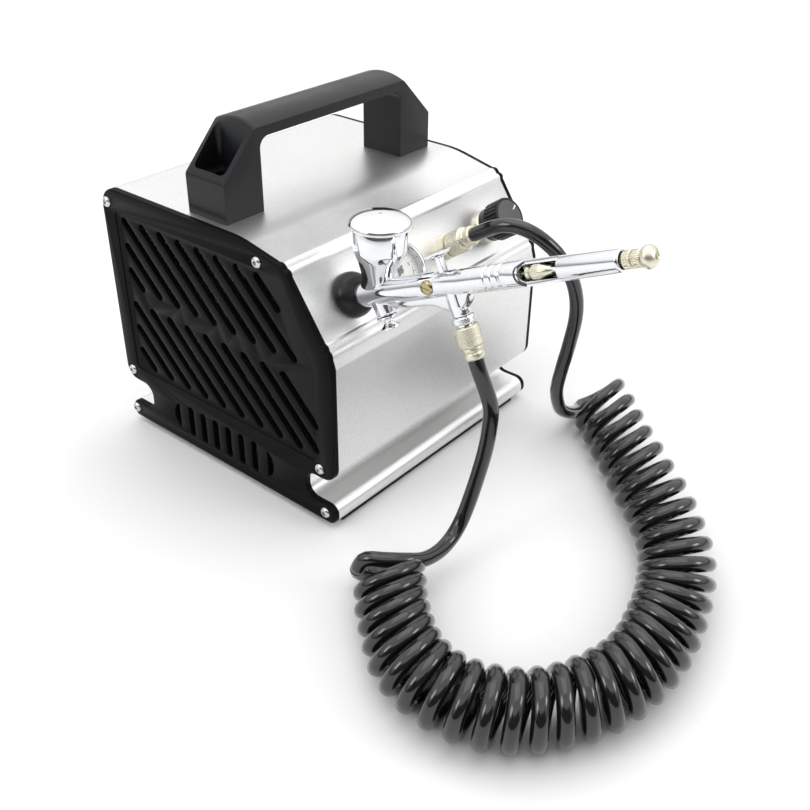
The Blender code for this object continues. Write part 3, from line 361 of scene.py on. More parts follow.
def many(shapes):
    whole = bmesh.new()
    for shape in shapes:
        mesh = bpy.data.meshes.new("shape")
        bmesh.ops.recalc_face_normals(shape, faces=shape.faces)
        shape.to_mesh(mesh)
        shape.free()
        whole.from_mesh(mesh)
        bpy.data.meshes.remove(mesh)
    return whole


def finish_piece(obj, body, look, stands_for=None, smooth=38.0):
    """Shading, material, body and CAD node of a finished piece."""
    mesh = obj.data
    mesh.shade_smooth()
    mesh.set_sharp_from_angle(angle=math.radians(smooth))
    mesh.materials.clear()
    mesh.materials.append(LOOKS[look])
    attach(obj, body)
    if stands_for:
        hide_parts(stands_for)


def spread(points, step):
    """Points evenly spaced, step apart, along a smooth curve through points."""
    knots = [np.array(p, float) for p in points]
    knots = [2 * knots[0] - knots[1]] + knots + [2 * knots[-1] - knots[-2]]
    fine = []
    for a, b, c, d in zip(knots, knots[1:], knots[2:], knots[3:]):
        for k in range(32):
            t = k / 32
            square = (2 * a - 5 * b + 4 * c - d) * t**2
            fine.append(0.5 * (2 * b + (c - a) * t + square + (3 * b - a - 3 * c + d) * t**3))
    fine = np.array(fine + [knots[-2]])
    steps = np.linalg.norm(np.diff(fine, axis=0), axis=1)
    travel = np.concatenate([[0.0], np.cumsum(steps)])
    wanted = np.linspace(0, travel[-1], max(2, int(round(travel[-1] / step)) + 1))
    return np.stack([np.interp(wanted, travel, fine[:, i]) for i in range(3)], 1)


# ---------------------------------------------------------------- materials


def shader_of(name, colour, roughness, metallic=0.0):
    made = bpy.data.materials.new(name)
    made.use_nodes = True
    shader = made.node_tree.nodes["Principled BSDF"]
    shader.inputs["Base Color"].default_value = (*colour, 1.0)
    shader.inputs["Roughness"].default_value = roughness
    shader.inputs["Metallic"].default_value = metallic
    return made, made.node_tree, shader


def noise(tree, scale, detail, stretch=None, rough=0.5):
    """Noise with scale in features per metre, drawn out along an axis by stretch."""
    coordinates = tree.nodes.new("ShaderNodeTexCoord")
    source = coordinates.outputs["Object"]
    if stretch:
        mapping = tree.nodes.new("ShaderNodeMapping")
        mapping.inputs["Scale"].default_value = stretch
        tree.links.new(source, mapping.inputs["Vector"])
        source = mapping.outputs["Vector"]
    texture = tree.nodes.new("ShaderNodeTexNoise")
    texture.inputs["Scale"].default_value = scale
    texture.inputs["Detail"].default_value = detail
    texture.inputs["Roughness"].default_value = rough
    tree.links.new(source, texture.inputs["Vector"])
    return texture.outputs["Fac"]


def ranged(tree, value, low, high, from_low=0.3, from_high=0.7):
    node = tree.nodes.new("ShaderNodeMapRange")
    node.inputs["From Min"].default_value = from_low
    node.inputs["From Max"].default_value = from_high
    node.inputs["To Min"].default_value = low
    node.inputs["To Max"].default_value = high
    tree.links.new(value, node.inputs["Value"])
    return node.outputs["Result"]


def mottle(tree, shader, value, colour, dark, light):
    """Lets the colour wander between two multiples of itself."""
    ramp = tree.nodes.new("ShaderNodeValToRGB")
    for element, position, share in zip(ramp.color_ramp.elements, (0.32, 0.68), (dark, light)):
        element.position = position
        element.color = (*(min(1.0, c * share) for c in colour), 1.0)
    tree.links.new(value, ramp.inputs["Fac"])
    tree.links.new(ramp.outputs["Color"], shader.inputs["Base Color"])


def uneven_gloss(tree, shader, value, low, high):
    tree.links.new(ranged(tree, value, low, high), shader.inputs["Roughness"])


def bump(tree, shader, value, depth_mm, before=None):
    node = tree.nodes.new("ShaderNodeBump")
    node.inputs["Strength"].default_value = 1.0
    node.inputs["Distance"].default_value = depth_mm * MM
    tree.links.new(value, node.inputs["Height"])
    if before is not None:
        tree.links.new(before, node.inputs["Normal"])
    tree.links.new(node.outputs["Normal"], shader.inputs["Normal"])
    return node.outputs["Normal"]


def bead_blasted(name, colour):
    """Fine-grained satin anodised aluminium: a speckle of facets a third of a millimetre across."""
    made, tree, shader = shader_of(name, colour, 0.42, 1.0)
    grain = noise(tree, 2600, 2.0)
    mottle(tree, shader, grain, colour, 0.86, 1.06)
    uneven_gloss(tree, shader, noise(tree, 18, 4.0), 0.36, 0.46)
    bump(tree, shader, grain, 0.035)
    return made


def moulded(name, colour, roughness, grain_mm, depth, sheen=0.25):
    """Moulded plastic with a fine spark-eroded texture and slightly uneven gloss."""
    made, tree, shader = shader_of(name, colour, roughness)
    grain = noise(tree, 1 / (grain_mm * MM), 2.0)
    cloud = noise(tree, 45, 5.0)
    mottle(tree, shader, cloud, colour, 0.8, 1.25)
    uneven_gloss(tree, shader, cloud, roughness - 0.07, roughness + 0.07)
    bump(tree, shader, grain, depth)
    shader.inputs["Specular IOR Level"].default_value = sheen
    return made


def plated(name, colour, roughness):
    """Polished plating: nearly a mirror, with faint smears and the slight ripple of hand polishing."""
    made, tree, shader = shader_of(name, colour, roughness, 1.0)
    cloud = noise(tree, 140, 6.0, rough=0.6)
    mottle(tree, shader, noise(tree, 320, 4.0), colour, 0.95, 1.0)
    uneven_gloss(tree, shader, cloud, roughness, roughness + 0.05)
    bump(tree, shader, noise(tree, 240, 1.0), 0.0012)
    return made


def turned_metal(name, colour, roughness):
    """Machined metal with fine tool marks."""
    made, tree, shader = shader_of(name, colour, roughness, 1.0)
    marks = noise(tree, 900, 3.0, stretch=(1.0, 1.0, 4.0))
    mottle(tree, shader, marks, colour, 0.85, 1.05)
    uneven_gloss(tree, shader, noise(tree, 200, 4.0), roughness - 0.06, roughness + 0.1)
    bump(tree, shader, marks, 0.01)
    return made


def polyurethane(name):
    """Glossy black hose: a clear skin with slow waviness, so the highlights wander along it."""
    made, tree, shader = shader_of(name, (0.006, 0.0065, 0.008), 0.13)
    slow = noise(tree, 110, 2.0)
    fine = noise(tree, 700, 3.0)
    uneven_gloss(tree, shader, fine, 0.10, 0.17)
    first = bump(tree, shader, slow, 0.10)
    bump(tree, shader, fine, 0.006, first)
    shader.inputs["IOR"].default_value = 1.53
    shader.inputs["Coat Weight"].default_value = 0.35
    shader.inputs["Coat Roughness"].default_value = 0.06
    return made


def soft_rubber(name, roughness=0.34):
    made, tree, shader = shader_of(name, (0.008, 0.008, 0.009), roughness)
    shader.inputs["Specular IOR Level"].default_value = 0.32
    uneven_gloss(tree, shader, noise(tree, 160, 5.0), roughness - 0.08, roughness + 0.14)
    bump(tree, shader, noise(tree, 900, 3.0), 0.012)
    return made


def printed(name, colour):
    made, tree, shader = shader_of(name, colour, 0.5)
    mottle(tree, shader, noise(tree, 500, 3.0), colour, 0.96, 1.0)
    bump(tree, shader, noise(tree, 1500, 2.0), 0.003)
    return made


def clear_glass(name):
    made, tree, shader = shader_of(name, (1.0, 1.0, 1.0), 0.02)
    shader.inputs["Alpha"].default_value = 0.10
    shader.inputs["Specular IOR Level"].default_value = 1.0
    bump(tree, shader, noise(tree, 60, 1.0), 0.002)
    return made


LOOKS = {
    "aluminium": bead_blasted("case_aluminium", (0.83, 0.83, 0.825)),
    "plate": moulded("plate_plastic", (0.006, 0.006, 0.0065), 0.34, 0.5, 0.02, 0.05),
    "handle": moulded("handle_plastic", (0.008, 0.0085, 0.010), 0.30, 0.6, 0.02, 0.24),
    "knob": moulded("knob_plastic", (0.010, 0.010, 0.011), 0.34, 0.5, 0.012, 0.3),
    "knob_face": moulded("knob_face_plastic", (0.10, 0.10, 0.105), 0.45, 0.4, 0.015),
    "screw": turned_metal("screw_steel", (0.66, 0.66, 0.66), 0.26),
    "chrome": plated("brush_chrome", (0.82, 0.83, 0.85), 0.05),
    "bezel": plated("gauge_bezel", (0.60, 0.60, 0.61), 0.10),
    "nickel": turned_metal("champagne_nickel", (0.78, 0.74, 0.60), 0.27),
    "brass": plated("plug_brass", (0.46, 0.39, 0.22), 0.16),
    "steel": turned_metal("needle_steel", (0.62, 0.62, 0.63), 0.22),
    # painted shade: the steel inside the case is made near black to stand in for the shade seen through the
    # grille slots
    "shade_darkened_steel": turned_metal("motor_steel", (0.045, 0.046, 0.048), 0.5),
    "copper": plated("pipe_copper", (0.50, 0.22, 0.09), 0.35),
    "hose": polyurethane("hose_polyurethane"),
    "rubber": soft_rubber("holder_rubber"),
    "foot": soft_rubber("foot_rubber", 0.6),
    "white": printed("gauge_face", (0.86, 0.86, 0.84)),
    "ink": printed("gauge_ink", (0.02, 0.02, 0.02)),
    "red": printed("gauge_red", (0.55, 0.03, 0.02)),
    "mark": printed("index_mark", (0.80, 0.80, 0.78)),
    "glass": clear_glass("gauge_glass"),
}


# ---------------------------------------------------------------- camera


def camera():
    azimuth, elevation = math.radians(CAMERA_AZIMUTH), math.radians(CAMERA_ELEVATION)
    roll = math.radians(CAMERA_ROLL)
    flat = math.cos(elevation)
    back = Vector((math.cos(azimuth) * flat, math.sin(azimuth) * flat, math.sin(elevation)))
    right = Vector((-math.sin(azimuth), math.cos(azimuth), 0.0))
    up = back.cross(right)
    turned_right = right * math.cos(roll) + up * math.sin(roll)
    turned_up = up * math.cos(roll) - right * math.sin(roll)
    data = bpy.data.cameras.new("camera")
    data.lens = CAMERA_LENS
    data.sensor_width = 36.0
    data.clip_start = 0.01
    obj = bpy.data.objects.new("camera", data)
    axes = Matrix((turned_right, turned_up, back)).transposed()
    obj.matrix_world = Matrix.Translation(Vector(CAMERA_PLACE) * MM) @ axes.to_4x4()
    bpy.context.scene.collection.objects.link(obj)
    bpy.context.scene.camera = obj


# ---------------------------------------------------------------- hose

LEAD_OUT = [
    (16.6, -25.5, 121.8),
    (18.0, -32.8, 124.0),
    (20.6, -40.0, 122.8),
    (24.0, -46.6, 118.6),
    (28.4, -52.6, 111.2),
    (34.0, -57.5, 98.0),
    (37.5, -58.6, 83.0),
    (38.0, -56.6, 66.0),
    (39.0, -53.4, 50.5),
    (43.0, -49.6, 35.0),
    (50.6, -47.6, 21.0),
    (58.0, -46.9, 14.0),
    (66.6, -46.2, 8.8),
    (75.5, -44.6, 4.8),
]
COIL_PATH = [
    (81.2, -49.9),
    (73.0, -59.3),
    (62.0, -72.0),
    (51.3, -83.4),
    (41.7, -94.7),
    (32.3, -104.7),
    (24.4, -114.2),
    (16.7, -123.0),
    (7.9, -131.4),
    (-0.9, -139.3),
    (-10.4, -145.7),
    (-21.0, -151.0),
    (-33.5, -155.6),
    (-46.5, -158.8),
    (-60.0, -160.8),
    (-72.0, -161.2),
    (-85.0, -159.4),
    (-98.0, -154.6),
    (-110.0, -147.4),
    (-119.6, -138.5),
    (-125.6, -127.5),
    (-128.3, -116.0),
    (-127.6, -103.6),
    (-123.0, -91.6),
    (-115.6, -81.4),
    (-107.6, -72.0),
    (-101.5, -66.0),
    (-96.5, -61.5),
    (-90.0, -54.0),
]
# How the rings of the coil face as they lie, by share of its length, and the turns made by then.
COIL_FACING = [
    (0.00, (-0.12, -0.85, -0.51)),
    (0.21, (-0.21, -0.80, -0.57)),
    (0.37, (-0.50, -0.54, -0.67)),
    (0.50, (-0.85, 0.19, -0.47)),
    (0.65, (-0.63, 0.77, 0.00)),
    (0.755, (-0.29, 0.90, 0.26)),
    (0.83, (0.02, 0.90, 0.44)),
    (0.91, (0.23, 0.78, 0.58)),
    (1.00, (0.42, 0.63, 0.66)),
]
COIL_TURNS = [
    (0.0, 0.0), (0.247, 6.3), (0.356, 9.4), (0.418, 11.4), (0.708, 22.8), (0.97, 33.0), (1.0, 34.25),
]
LEAD_IN = [
    (-96.6, -49.0, 19.4),
    (-92.6, -56.0, 20.4),
    (-86.0, -61.4, 18.8),
    (-78.0, -64.1, 15.5),
    (-68.2, -64.3, 13.2),
    (-59.1, -63.7, 13.8),
    (-52.2, -63.6, 18.5),
    (-48.2, -64.6, 27.5),
    (-45.6, -66.4, 40.0),
    (-44.6, -68.8, 54.0),
    (-45.0, -70.6, 67.0),
    (-46.0, -70.9, 79.0),
]


def gentle(knots, wanted):
    """Values of the knots at the wanted shares, with the corners between them rounded."""
    shares, values = zip(*knots)
    near = np.linspace(-0.04, 0.04, 9)
    return np.array([np.interp(np.clip(share + near, 0.0, 1.0), shares, values).mean() for share in wanted])


def helix():
    """The coiled length: rings that lean over as the coil lies, starting at the bottom of a turn."""
    line = spread([(x, y, COIL_Z) for x, y in COIL_PATH], 0.5)
    shares = np.linspace(0.0, 1.0, len(line))
    turns = gentle(COIL_TURNS, shares)
    total = COIL_TURNS[-1][1]
    turns = (turns - turns[0]) * total / (turns[-1] - turns[0])
    facing = [gentle([(share, n[i]) for share, n in COIL_FACING], shares) for i in range(3)]
    down = np.array((0.0, 0.0, -1.0))
    points = []
    for turn in np.linspace(0.0, total, int(total * TURN_POINTS) + 1):
        share = np.interp(turn, turns, shares)
        centre = np.array([np.interp(share, shares, line[:, i]) for i in range(3)])
        normal = np.array([np.interp(share, shares, part) for part in facing])
        normal /= np.linalg.norm(normal)
        radius = COIL_MEAN_R + 0.5 - share + 0.15 * math.sin(turn * 1.36)
        height = radius * math.sqrt(1.0 - normal[2] ** 2) + HOSE_D / 2 + 0.1
        centre = centre + COIL_SETTLE * (COIL_Z - height)
        fall = down - normal * np.dot(down, normal)
        fall /= np.linalg.norm(fall)
        angle = 2 * math.pi * turn
        points.append(centre + radius * (fall * math.cos(angle) + np.cross(normal, fall) * math.sin(angle)))
    return np.array(points)


def hose():
    start = [on_panel(OUTLET_X, PANEL_ROW, height) for height in (16.0, 19.3)]
    coil = helix()
    lead = spread([tuple(p) for p in start] + LEAD_OUT + [tuple(p) for p in coil[:3]], 3.0)
    near_coil = np.linalg.norm(lead - coil[0], axis=1).argmin()
    route = np.concatenate([lead[:near_coil], coil])
    data = bpy.data.curves.new("air_hose", "CURVE")
    data.dimensions = "3D"
    data.bevel_depth = HOSE_D / 2 * MM
    data.bevel_resolution = 6
    data.use_fill_caps = True
    spline = data.splines.new("POLY")
    spline.points.add(len(route) - 1)
    for point, place in zip(spline.points, route * MM):
        point.co = (*place, 1.0)
    spline.use_smooth = True
    data.materials.append(LOOKS["hose"])
    obj = bpy.data.objects.new("air_hose", data)
    bpy.context.scene.collection.objects.link(obj)
    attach(obj, "case")
    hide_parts("hose_lead_out", "hose_coil")
    return coil


def hose_tail(coil):
    """The last stretch, from the coil up to the airbrush."""
    end = [tuple(on_brush(VALVE_T, -drop)) for drop in (37.0, 31.2, 28.0)]
    joined = [tuple(p) for p in coil[-4:]]
    route = spread(joined + LEAD_IN + end, 2.2)
    first = np.linalg.norm(route - coil[-1], axis=1).argmin()
    route = route[first:]
    route[0] = coil[-1]
    sides = 32
    rings = []
    normal = None
    for i, place in enumerate(route):
        along = Vector(route[min(i + 1, len(route) - 1)] - route[max(i - 1, 0)]).normalized()
        if normal is None:
            normal = along.orthogonal().normalized()
        normal = (normal - along * normal.dot(along)).normalized()
        other = along.cross(normal)
        ring = []
        for k in range(sides):
            angle = 2 * math.pi * k / sides
            ring.append(Vector(place) + (normal * math.cos(angle) + other * math.sin(angle)) * HOSE_D / 2)
        rings.append(ring)
    obj = solid(skin(rings), "air_hose_tail")
    obj.data.shade_smooth()
    obj.data.materials.append(LOOKS["hose"])
    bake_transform(obj)
    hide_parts("hose_lead_in")


# ---------------------------------------------------------------- case


def rib(start, end, rise):
    """A line from start to end that swells to one side by rise."""
    start, end = np.array(start), np.array(end)
    run = end - start
    out = np.array((run[1], -run[0])) / np.linalg.norm(run)
    shares = np.arange(11) / 10
    return [tuple(start + run * share + out * rise * math.sin(math.pi * share)) for share in shares]


def case_outline():
    """The extrusion's outline in y and z, with its notched foot rails and the ribs above the panel."""
    steps = 12
    foot_front, foot_back = FRONT + 0.5, BACK - 0.5
    low = FOOT_HEIGHT
    notch_front, notch_back = FRONT + NOTCH_DEPTH, BACK - NOTCH_DEPTH
    corners = [
        (foot_front, low, 3.6),
        (foot_back, low, 3.6),
        (foot_back, NOTCH_LOW, 4.6),
        (notch_back, NOTCH_LOW, 5.6),
        (notch_back, NOTCH_HIGH, 6.0),
        (BACK, NOTCH_HIGH, 7.0),
        (BACK, TOP, 10.0),
        (SHOULDER, TOP, 60.0),
    ]
    rising = rounded(corners + [(*RIDGE, 0), (FRONT, PANEL_BREAK, 0)], steps)[:-2]
    upper = rib((17.5, 123.1), (13.4, 121.4), RIB_RISE) + rib((13.4, 121.4), PANEL_TOP, RIB_RISE)[1:]
    slope = math.tan(PANEL_LEAN)
    top_of_pair = 93.8
    first = (PANEL_TOP[0] - slope * (PANEL_TOP[1] - top_of_pair), top_of_pair)
    second = (first[0] - 2.1, top_of_pair - 2.6)
    third = (FRONT + 1.4, PANEL_BREAK + 1.9)
    lower = rib(first, second, 0.7) + rib(second, third, 0.7)[1:]
    falling = rounded(
        [
            (*third, 0),
            (FRONT, PANEL_BREAK - 2.5, 6.0),
            (FRONT, NOTCH_HIGH, 7.0),
            (notch_front, NOTCH_HIGH, 6.0),
            (notch_front, NOTCH_LOW, 5.6),
            (foot_front, NOTCH_LOW, 4.6),
            (foot_front, low, 0),
        ],
        steps,
    )[1:-1]
    return rising + upper + lower + falling


def cavity_outline():
    """The hollow inside the extrusion, one wall thickness in."""
    notch_front, notch_back = FRONT + NOTCH_DEPTH + WALL, BACK - NOTCH_DEPTH - WALL
    shelf = NOTCH_HIGH + WALL
    thin = WALL / math.cos(PANEL_LEAN)
    slope = math.tan(PANEL_LEAN)
    panel_y = PANEL_TOP[0] - slope * (PANEL_TOP[1] - PANEL_BREAK) + thin
    ridge_z = 119.4
    return rounded(
        [
            (notch_front, FOOT_HEIGHT + WALL + 0.6, 2.0),
            (notch_back, FOOT_HEIGHT + WALL + 0.6, 2.0),
            (notch_back, shelf, 2.0),
            (BACK - WALL, shelf, 2.0),
            (BACK - WALL, TOP - WALL, 7.0),
            (SHOULDER - 1.0, TOP - WALL, 12.0),
            (PANEL_TOP[0] + thin + slope * (ridge_z - PANEL_TOP[1]), ridge_z, 2.0),
            (panel_y - slope * 1.0, PANEL_BREAK - 1.0, 3.0),
            (FRONT + WALL, shelf, 2.0),
            (notch_front, shelf, 2.0),
        ],
        steps=4,
    )


def case_shell():
    end = CASE_LENGTH / 2 - PLATE
    outline = case_outline()
    shell = solid(prism_x(outline, -end, end), "case")
    combine(shell, prism_x(cavity_outline(), -end - 1, end + 1))
    openings = [
        turned([(-6, 4.9), (3, 4.9)], on_panel(GAUGE_X, PANEL_ROW), PANEL_OUT, 24),
        turned([(-6, 4.6), (3, 4.6)], on_panel(OUTLET_X, PANEL_ROW), PANEL_OUT, 24),
        turned([(-6, 5.0), (3, 5.0)], on_panel(KNOB_X, PANEL_ROW), PANEL_OUT, 24),
        turned([(-16, 6.3), (-2, 6.3)], BRUSH_ORIGIN, BRUSH_AXIS, 24),
        box((30.0, 62.0), (BACK - 6, BACK + 3), (44.0, 76.0)),
    ]
    combine(shell, many(openings))
    finish_piece(shell, "case", "aluminium", "case_shell", smooth=30.0)


def slot_shape(y0, z0, y1, z1, width):
    """A round-ended slot between two centres."""
    angle = math.degrees(math.atan2(z1 - z0, y1 - y0))
    first = arc((y0, z0), width / 2, angle + 90, angle + 270, 8)
    return first + arc((y1, z1), width / 2, angle - 90, angle + 90, 8)


def front_limit(z):
    """How far forward the slots may reach at a height."""
    slope = math.tan(PANEL_LEAN)
    edge = PANEL_TOP[0] - slope * (PANEL_TOP[1] - z)
    return max(edge, FRONT) + 10.5


def diagonal_slots():
    shapes = []
    reach = SLOT / 2
    for low, high in SLOT_ROWS:
        top, bottom = high - reach, low + reach
        for k in range(-3, 9):
            start_y = SLOT_FIELD_BACK - reach - SLOT_PITCH * k
            start_z = top
            if start_y > SLOT_FIELD_BACK - reach:
                start_z -= start_y - (SLOT_FIELD_BACK - reach)
                start_y = SLOT_FIELD_BACK - reach
            fall = FIRST_SLOT_FALL if start_y < FIRST_SLOT_Y and top > 100 else start_z - bottom
            while fall > 0 and start_y - fall < front_limit(start_z - fall):
                fall -= 0.5
            if fall > SLOT:
                shapes.append(slot_shape(start_y, start_z, start_y - fall, start_z - fall, SLOT))
    return shapes


def louvres():
    low, high = LOUVRE_Z
    middle = (low + high) / 2
    radius = (high - low) / 2
    shapes = []
    for k in range(6):
        y = LOUVRE_CENTRE + LOUVRE_PITCH * (k - 2.5)
        shapes.append(slot_shape(y, low + LOUVRE / 2, y, high - LOUVRE / 2, LOUVRE))
    flat = LOUVRE_PITCH * 3 + LOUVRE / 2 + 2.0
    for sign in (-1, 1):
        start = LOUVRE_CENTRE + sign * (flat - radius + 4.4)
        reach = math.degrees(math.acos((radius - 4.4) / radius))
        bow = arc((start, middle), radius, -reach, reach, 16)
        shapes.append(bow if sign > 0 else [(2 * start - y, z) for y, z in bow][::-1])
    return shapes


def end_plate(name, sign):
    outline = case_outline()
    inner = sign * (CASE_LENGTH / 2 - PLATE)
    outer = sign * CASE_LENGTH / 2
    line_low, line_high = outer - sign * 1.55, outer - sign * 1.25
    shallow = inset(outline, 0.22)
    rings = []
    for x, shape in (
        (inner, outline),
        (line_low, outline),
        (line_low, shallow),
        (line_high, shallow),
        (line_high, outline),
        (outer - sign * 0.75, outline),
        (outer - sign * 0.22, inset(outline, 0.2)),
        (outer, inset(outline, 0.75)),
    ):
        rings.append([(x, y, z) for y, z in shape])
    plate = solid(skin(rings), name)
    field = rounded(
        [
            (FRONT + 10.0, 34.0, 3.0),
            (122.9, 34.0, 3.0),
            (122.9, 117.6, 3.0),
            (16.0, 117.6, 3.0),
            (FRONT + 10.0, PANEL_BREAK - 4.0, 5.0),
        ],
        steps=8,
    )
    combine(plate, prism_x(field, outer - sign * 0.45, outer + sign))
    holes = [prism_x(shape, inner - sign, outer + sign) for shape in diagonal_slots() + louvres()]
    combine(plate, many(holes))
    dimple = [(outer * sign - 0.5, 3.1), (outer * sign + 1, 3.1)]
    dimples = [turned(dimple, (0, y, z), (sign, 0, 0), 32) for y, z in PLATE_SCREWS]
    combine(plate, many(dimples))
    bevelled(plate, 0.28, 2, 50.0)
    finish_piece(plate, "case", "plate", name.replace("grille", "end_plate"), smooth=30.0)


def screw_head():
    """A button head with a hexagon socket, at the origin and facing +X."""
    profile = [(-1.0, 2.5), (0.0, 2.65), (0.35, 2.65), (0.8, 2.5)]
    profile += [(1.15, 2.2), (1.45, 1.75), (1.6, 1.3), (1.62, 1.1)]
    head = solid(turned(eased(profile, 3, 0.2), (0, 0, 0), (1, 0, 0), 40), "screw")
    combine(head, turned([(0.5, 1.15), (3.0, 1.15)], (0, 0, 0), (1, 0, 0), 6))
    return head


def plate_screws():
    model = screw_head()
    mesh = model.data
    bpy.data.objects.remove(model)
    face = CASE_LENGTH / 2 - 0.5
    for side, sign in (("left", -1), ("right", 1)):
        for number, (y, z) in enumerate(PLATE_SCREWS, 1):
            copy = mesh.copy()
            spin = Matrix.Rotation(math.radians(23.0 * number + 40 * sign), 4, "X")
            flip = Matrix.Rotation(0.0 if sign > 0 else math.pi, 4, "Z")
            copy.transform(Matrix.Translation(Vector((sign * face, y, z)) * MM) @ flip @ spin)
            name = f"plate_screw_{side}_{number}"
            obj = bpy.data.objects.new("head_" + name, copy)
            bpy.context.scene.collection.objects.link(obj)
            finish_piece(obj, "case", "screw", name, smooth=30.0)


def feet():
    half = CASE_LENGTH / 2 - 8
    for name, y0, y1 in (("foot_front", FRONT + 3.0, FRONT + 14.0), ("foot_back", BACK - 14.0, BACK - 3.0)):
        outline = rounded(
            [(y0, 0.0, 0.8), (y1, 0.0, 0.8), (y1, FOOT_HEIGHT, 0.3), (y0, FOOT_HEIGHT, 0.3)], 5,
        )
        obj = solid(prism_x(outline, -half, half), name + "_strip")
        bevelled(obj, 0.4)
        finish_piece(obj, "case", "foot", name)


# ---------------------------------------------------------------- handle


def handle_screw_places():
    middle = (HANDLE_Y[0] + HANDLE_Y[1]) / 2
    return ((HANDLE_X[0] + HANDLE_SCREW_IN, middle), (HANDLE_X[1] - HANDLE_SCREW_IN, middle))


def pocket(inward):
    edge = HANDLE_X[0] if inward > 0 else HANDLE_X[1]
    across = sorted((edge + inward * POCKET_WALL, edge + inward * (LEG - POCKET_WALL - 1.6)))
    along = (HANDLE_Y[0] + POCKET_WALL, HANDLE_Y[1] - POCKET_WALL)
    plan = rounded([(across[i], along[j], 2.5) for i, j in ((0, 0), (1, 0), (1, 1), (0, 1))], steps=8)
    return skin([[(x, y, z) for x, y in plan] for z in (POCKET_FLOOR, HANDLE_TOP + 12.0)])


def carry_handle():
    x0, x1 = HANDLE_X
    y0, y1 = HANDLE_Y
    slant = HANDLE_TOP - LEG_SHOULDER
    under = HANDLE_TOP - GRIP
    side = rounded(
        [
            (x0, TOP, 0.3),
            (x0 + LEG, TOP, 0.3),
            (x0 + LEG, under, 5.0),
            (x1 - LEG, under, 5.0),
            (x1 - LEG, TOP, 0.3),
            (x1, TOP, 0.3),
            (x1, LEG_SHOULDER, 2.5),
            (x1 - slant, HANDLE_TOP, 3.0),
            (x0 + slant, HANDLE_TOP, 3.0),
            (x0, LEG_SHOULDER, 2.5),
        ],
        steps=9,
    )
    rings = []
    for k in range(21):
        share = k / 10 - 1
        lift = HANDLE_CROWN * (1 - share * share)
        ring = []
        for x, z in side:
            outer = z > LEG_SHOULDER and not x0 + slant < x < x1 - slant
            if outer or z > under + 1.0:
                z += lift * (z - LEG_SHOULDER) / slant
            ring.append((x, (y0 + y1) / 2 + share * (y1 - y0) / 2, z))
        rings.append(ring)
    handle = solid(skin(rings), "handle")
    combine(handle, many([pocket(1), pocket(-1)]))
    well = [(SCREW_SEAT, 4.4), (POCKET_FLOOR + 1, 4.4)]
    wells = [turned(well, (x, y, 0), (0, 0, 1), 40) for x, y in handle_screw_places()]
    combine(handle, many(wells))
    bevelled(handle, 1.6, 5, 50.0)
    finish_piece(handle, "case", "handle", "carry_handle", smooth=30.0)
    for side_name, (x, y) in zip(("left", "right"), handle_screw_places()):
        profile = [(-1.0, 3.5), (0.0, 3.7), (1.6, 3.6), (2.6, 2.6), (2.9, 1.2)]
        shape = turned(eased(profile, 4, 0.5), (x, y, SCREW_SEAT), (0, 0, 1), 40)
        head = solid(shape, f"handle_screw_head_{side_name}")
        for half_x, half_y in ((1.9, 0.35), (0.35, 1.9)):
            height = (SCREW_SEAT + 1.4, SCREW_SEAT + 4)
            combine(head, box((x - half_x, x + half_x), (y - half_y, y + half_y), height))
        finish_piece(head, "case", "screw", f"handle_screw_{side_name}", smooth=30.0)


# ---------------------------------------------------------------- control panel


def holder_ring():
    base = on_panel(HOLDER_X, PANEL_ROW)
    dome = [(0.0, 9.4), (0.9, 9.9), (2.2, 9.8), (3.8, 9.3), (5.2, 8.4), (6.2, 7.4), (6.8, 6.4), (6.9, 5.6)]
    ring = solid(turned(eased(dome, 4, 0.8), base, PANEL_OUT, 96), "holder_grommet")
    combine(ring, turned([(-14, NOSE_R + 0.15), (8, NOSE_R + 0.15)], BRUSH_ORIGIN, BRUSH_AXIS, 64))
    bevelled(ring, 0.45, 3, 40.0)
    finish_piece(ring, "case", "rubber", "holder_ring", smooth=40.0)


def label_figure(text, name, place, size):
    """A generic figure printed on the dial."""
    data = bpy.data.curves.new(name, "FONT")
    data.body = text
    data.size = size * MM
    data.align_x = "CENTER"
    data.align_y = "CENTER"
    data.extrude = 0.01 * MM
    data.materials.append(LOOKS["ink"])
    obj = bpy.data.objects.new(name, data)
    axes = Matrix((PANEL_RIGHT, PANEL_UP, PANEL_OUT)).transposed().to_4x4()
    obj.matrix_world = Matrix.Translation(place * MM) @ axes
    bpy.context.scene.collection.objects.link(obj)
    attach(obj, "case")


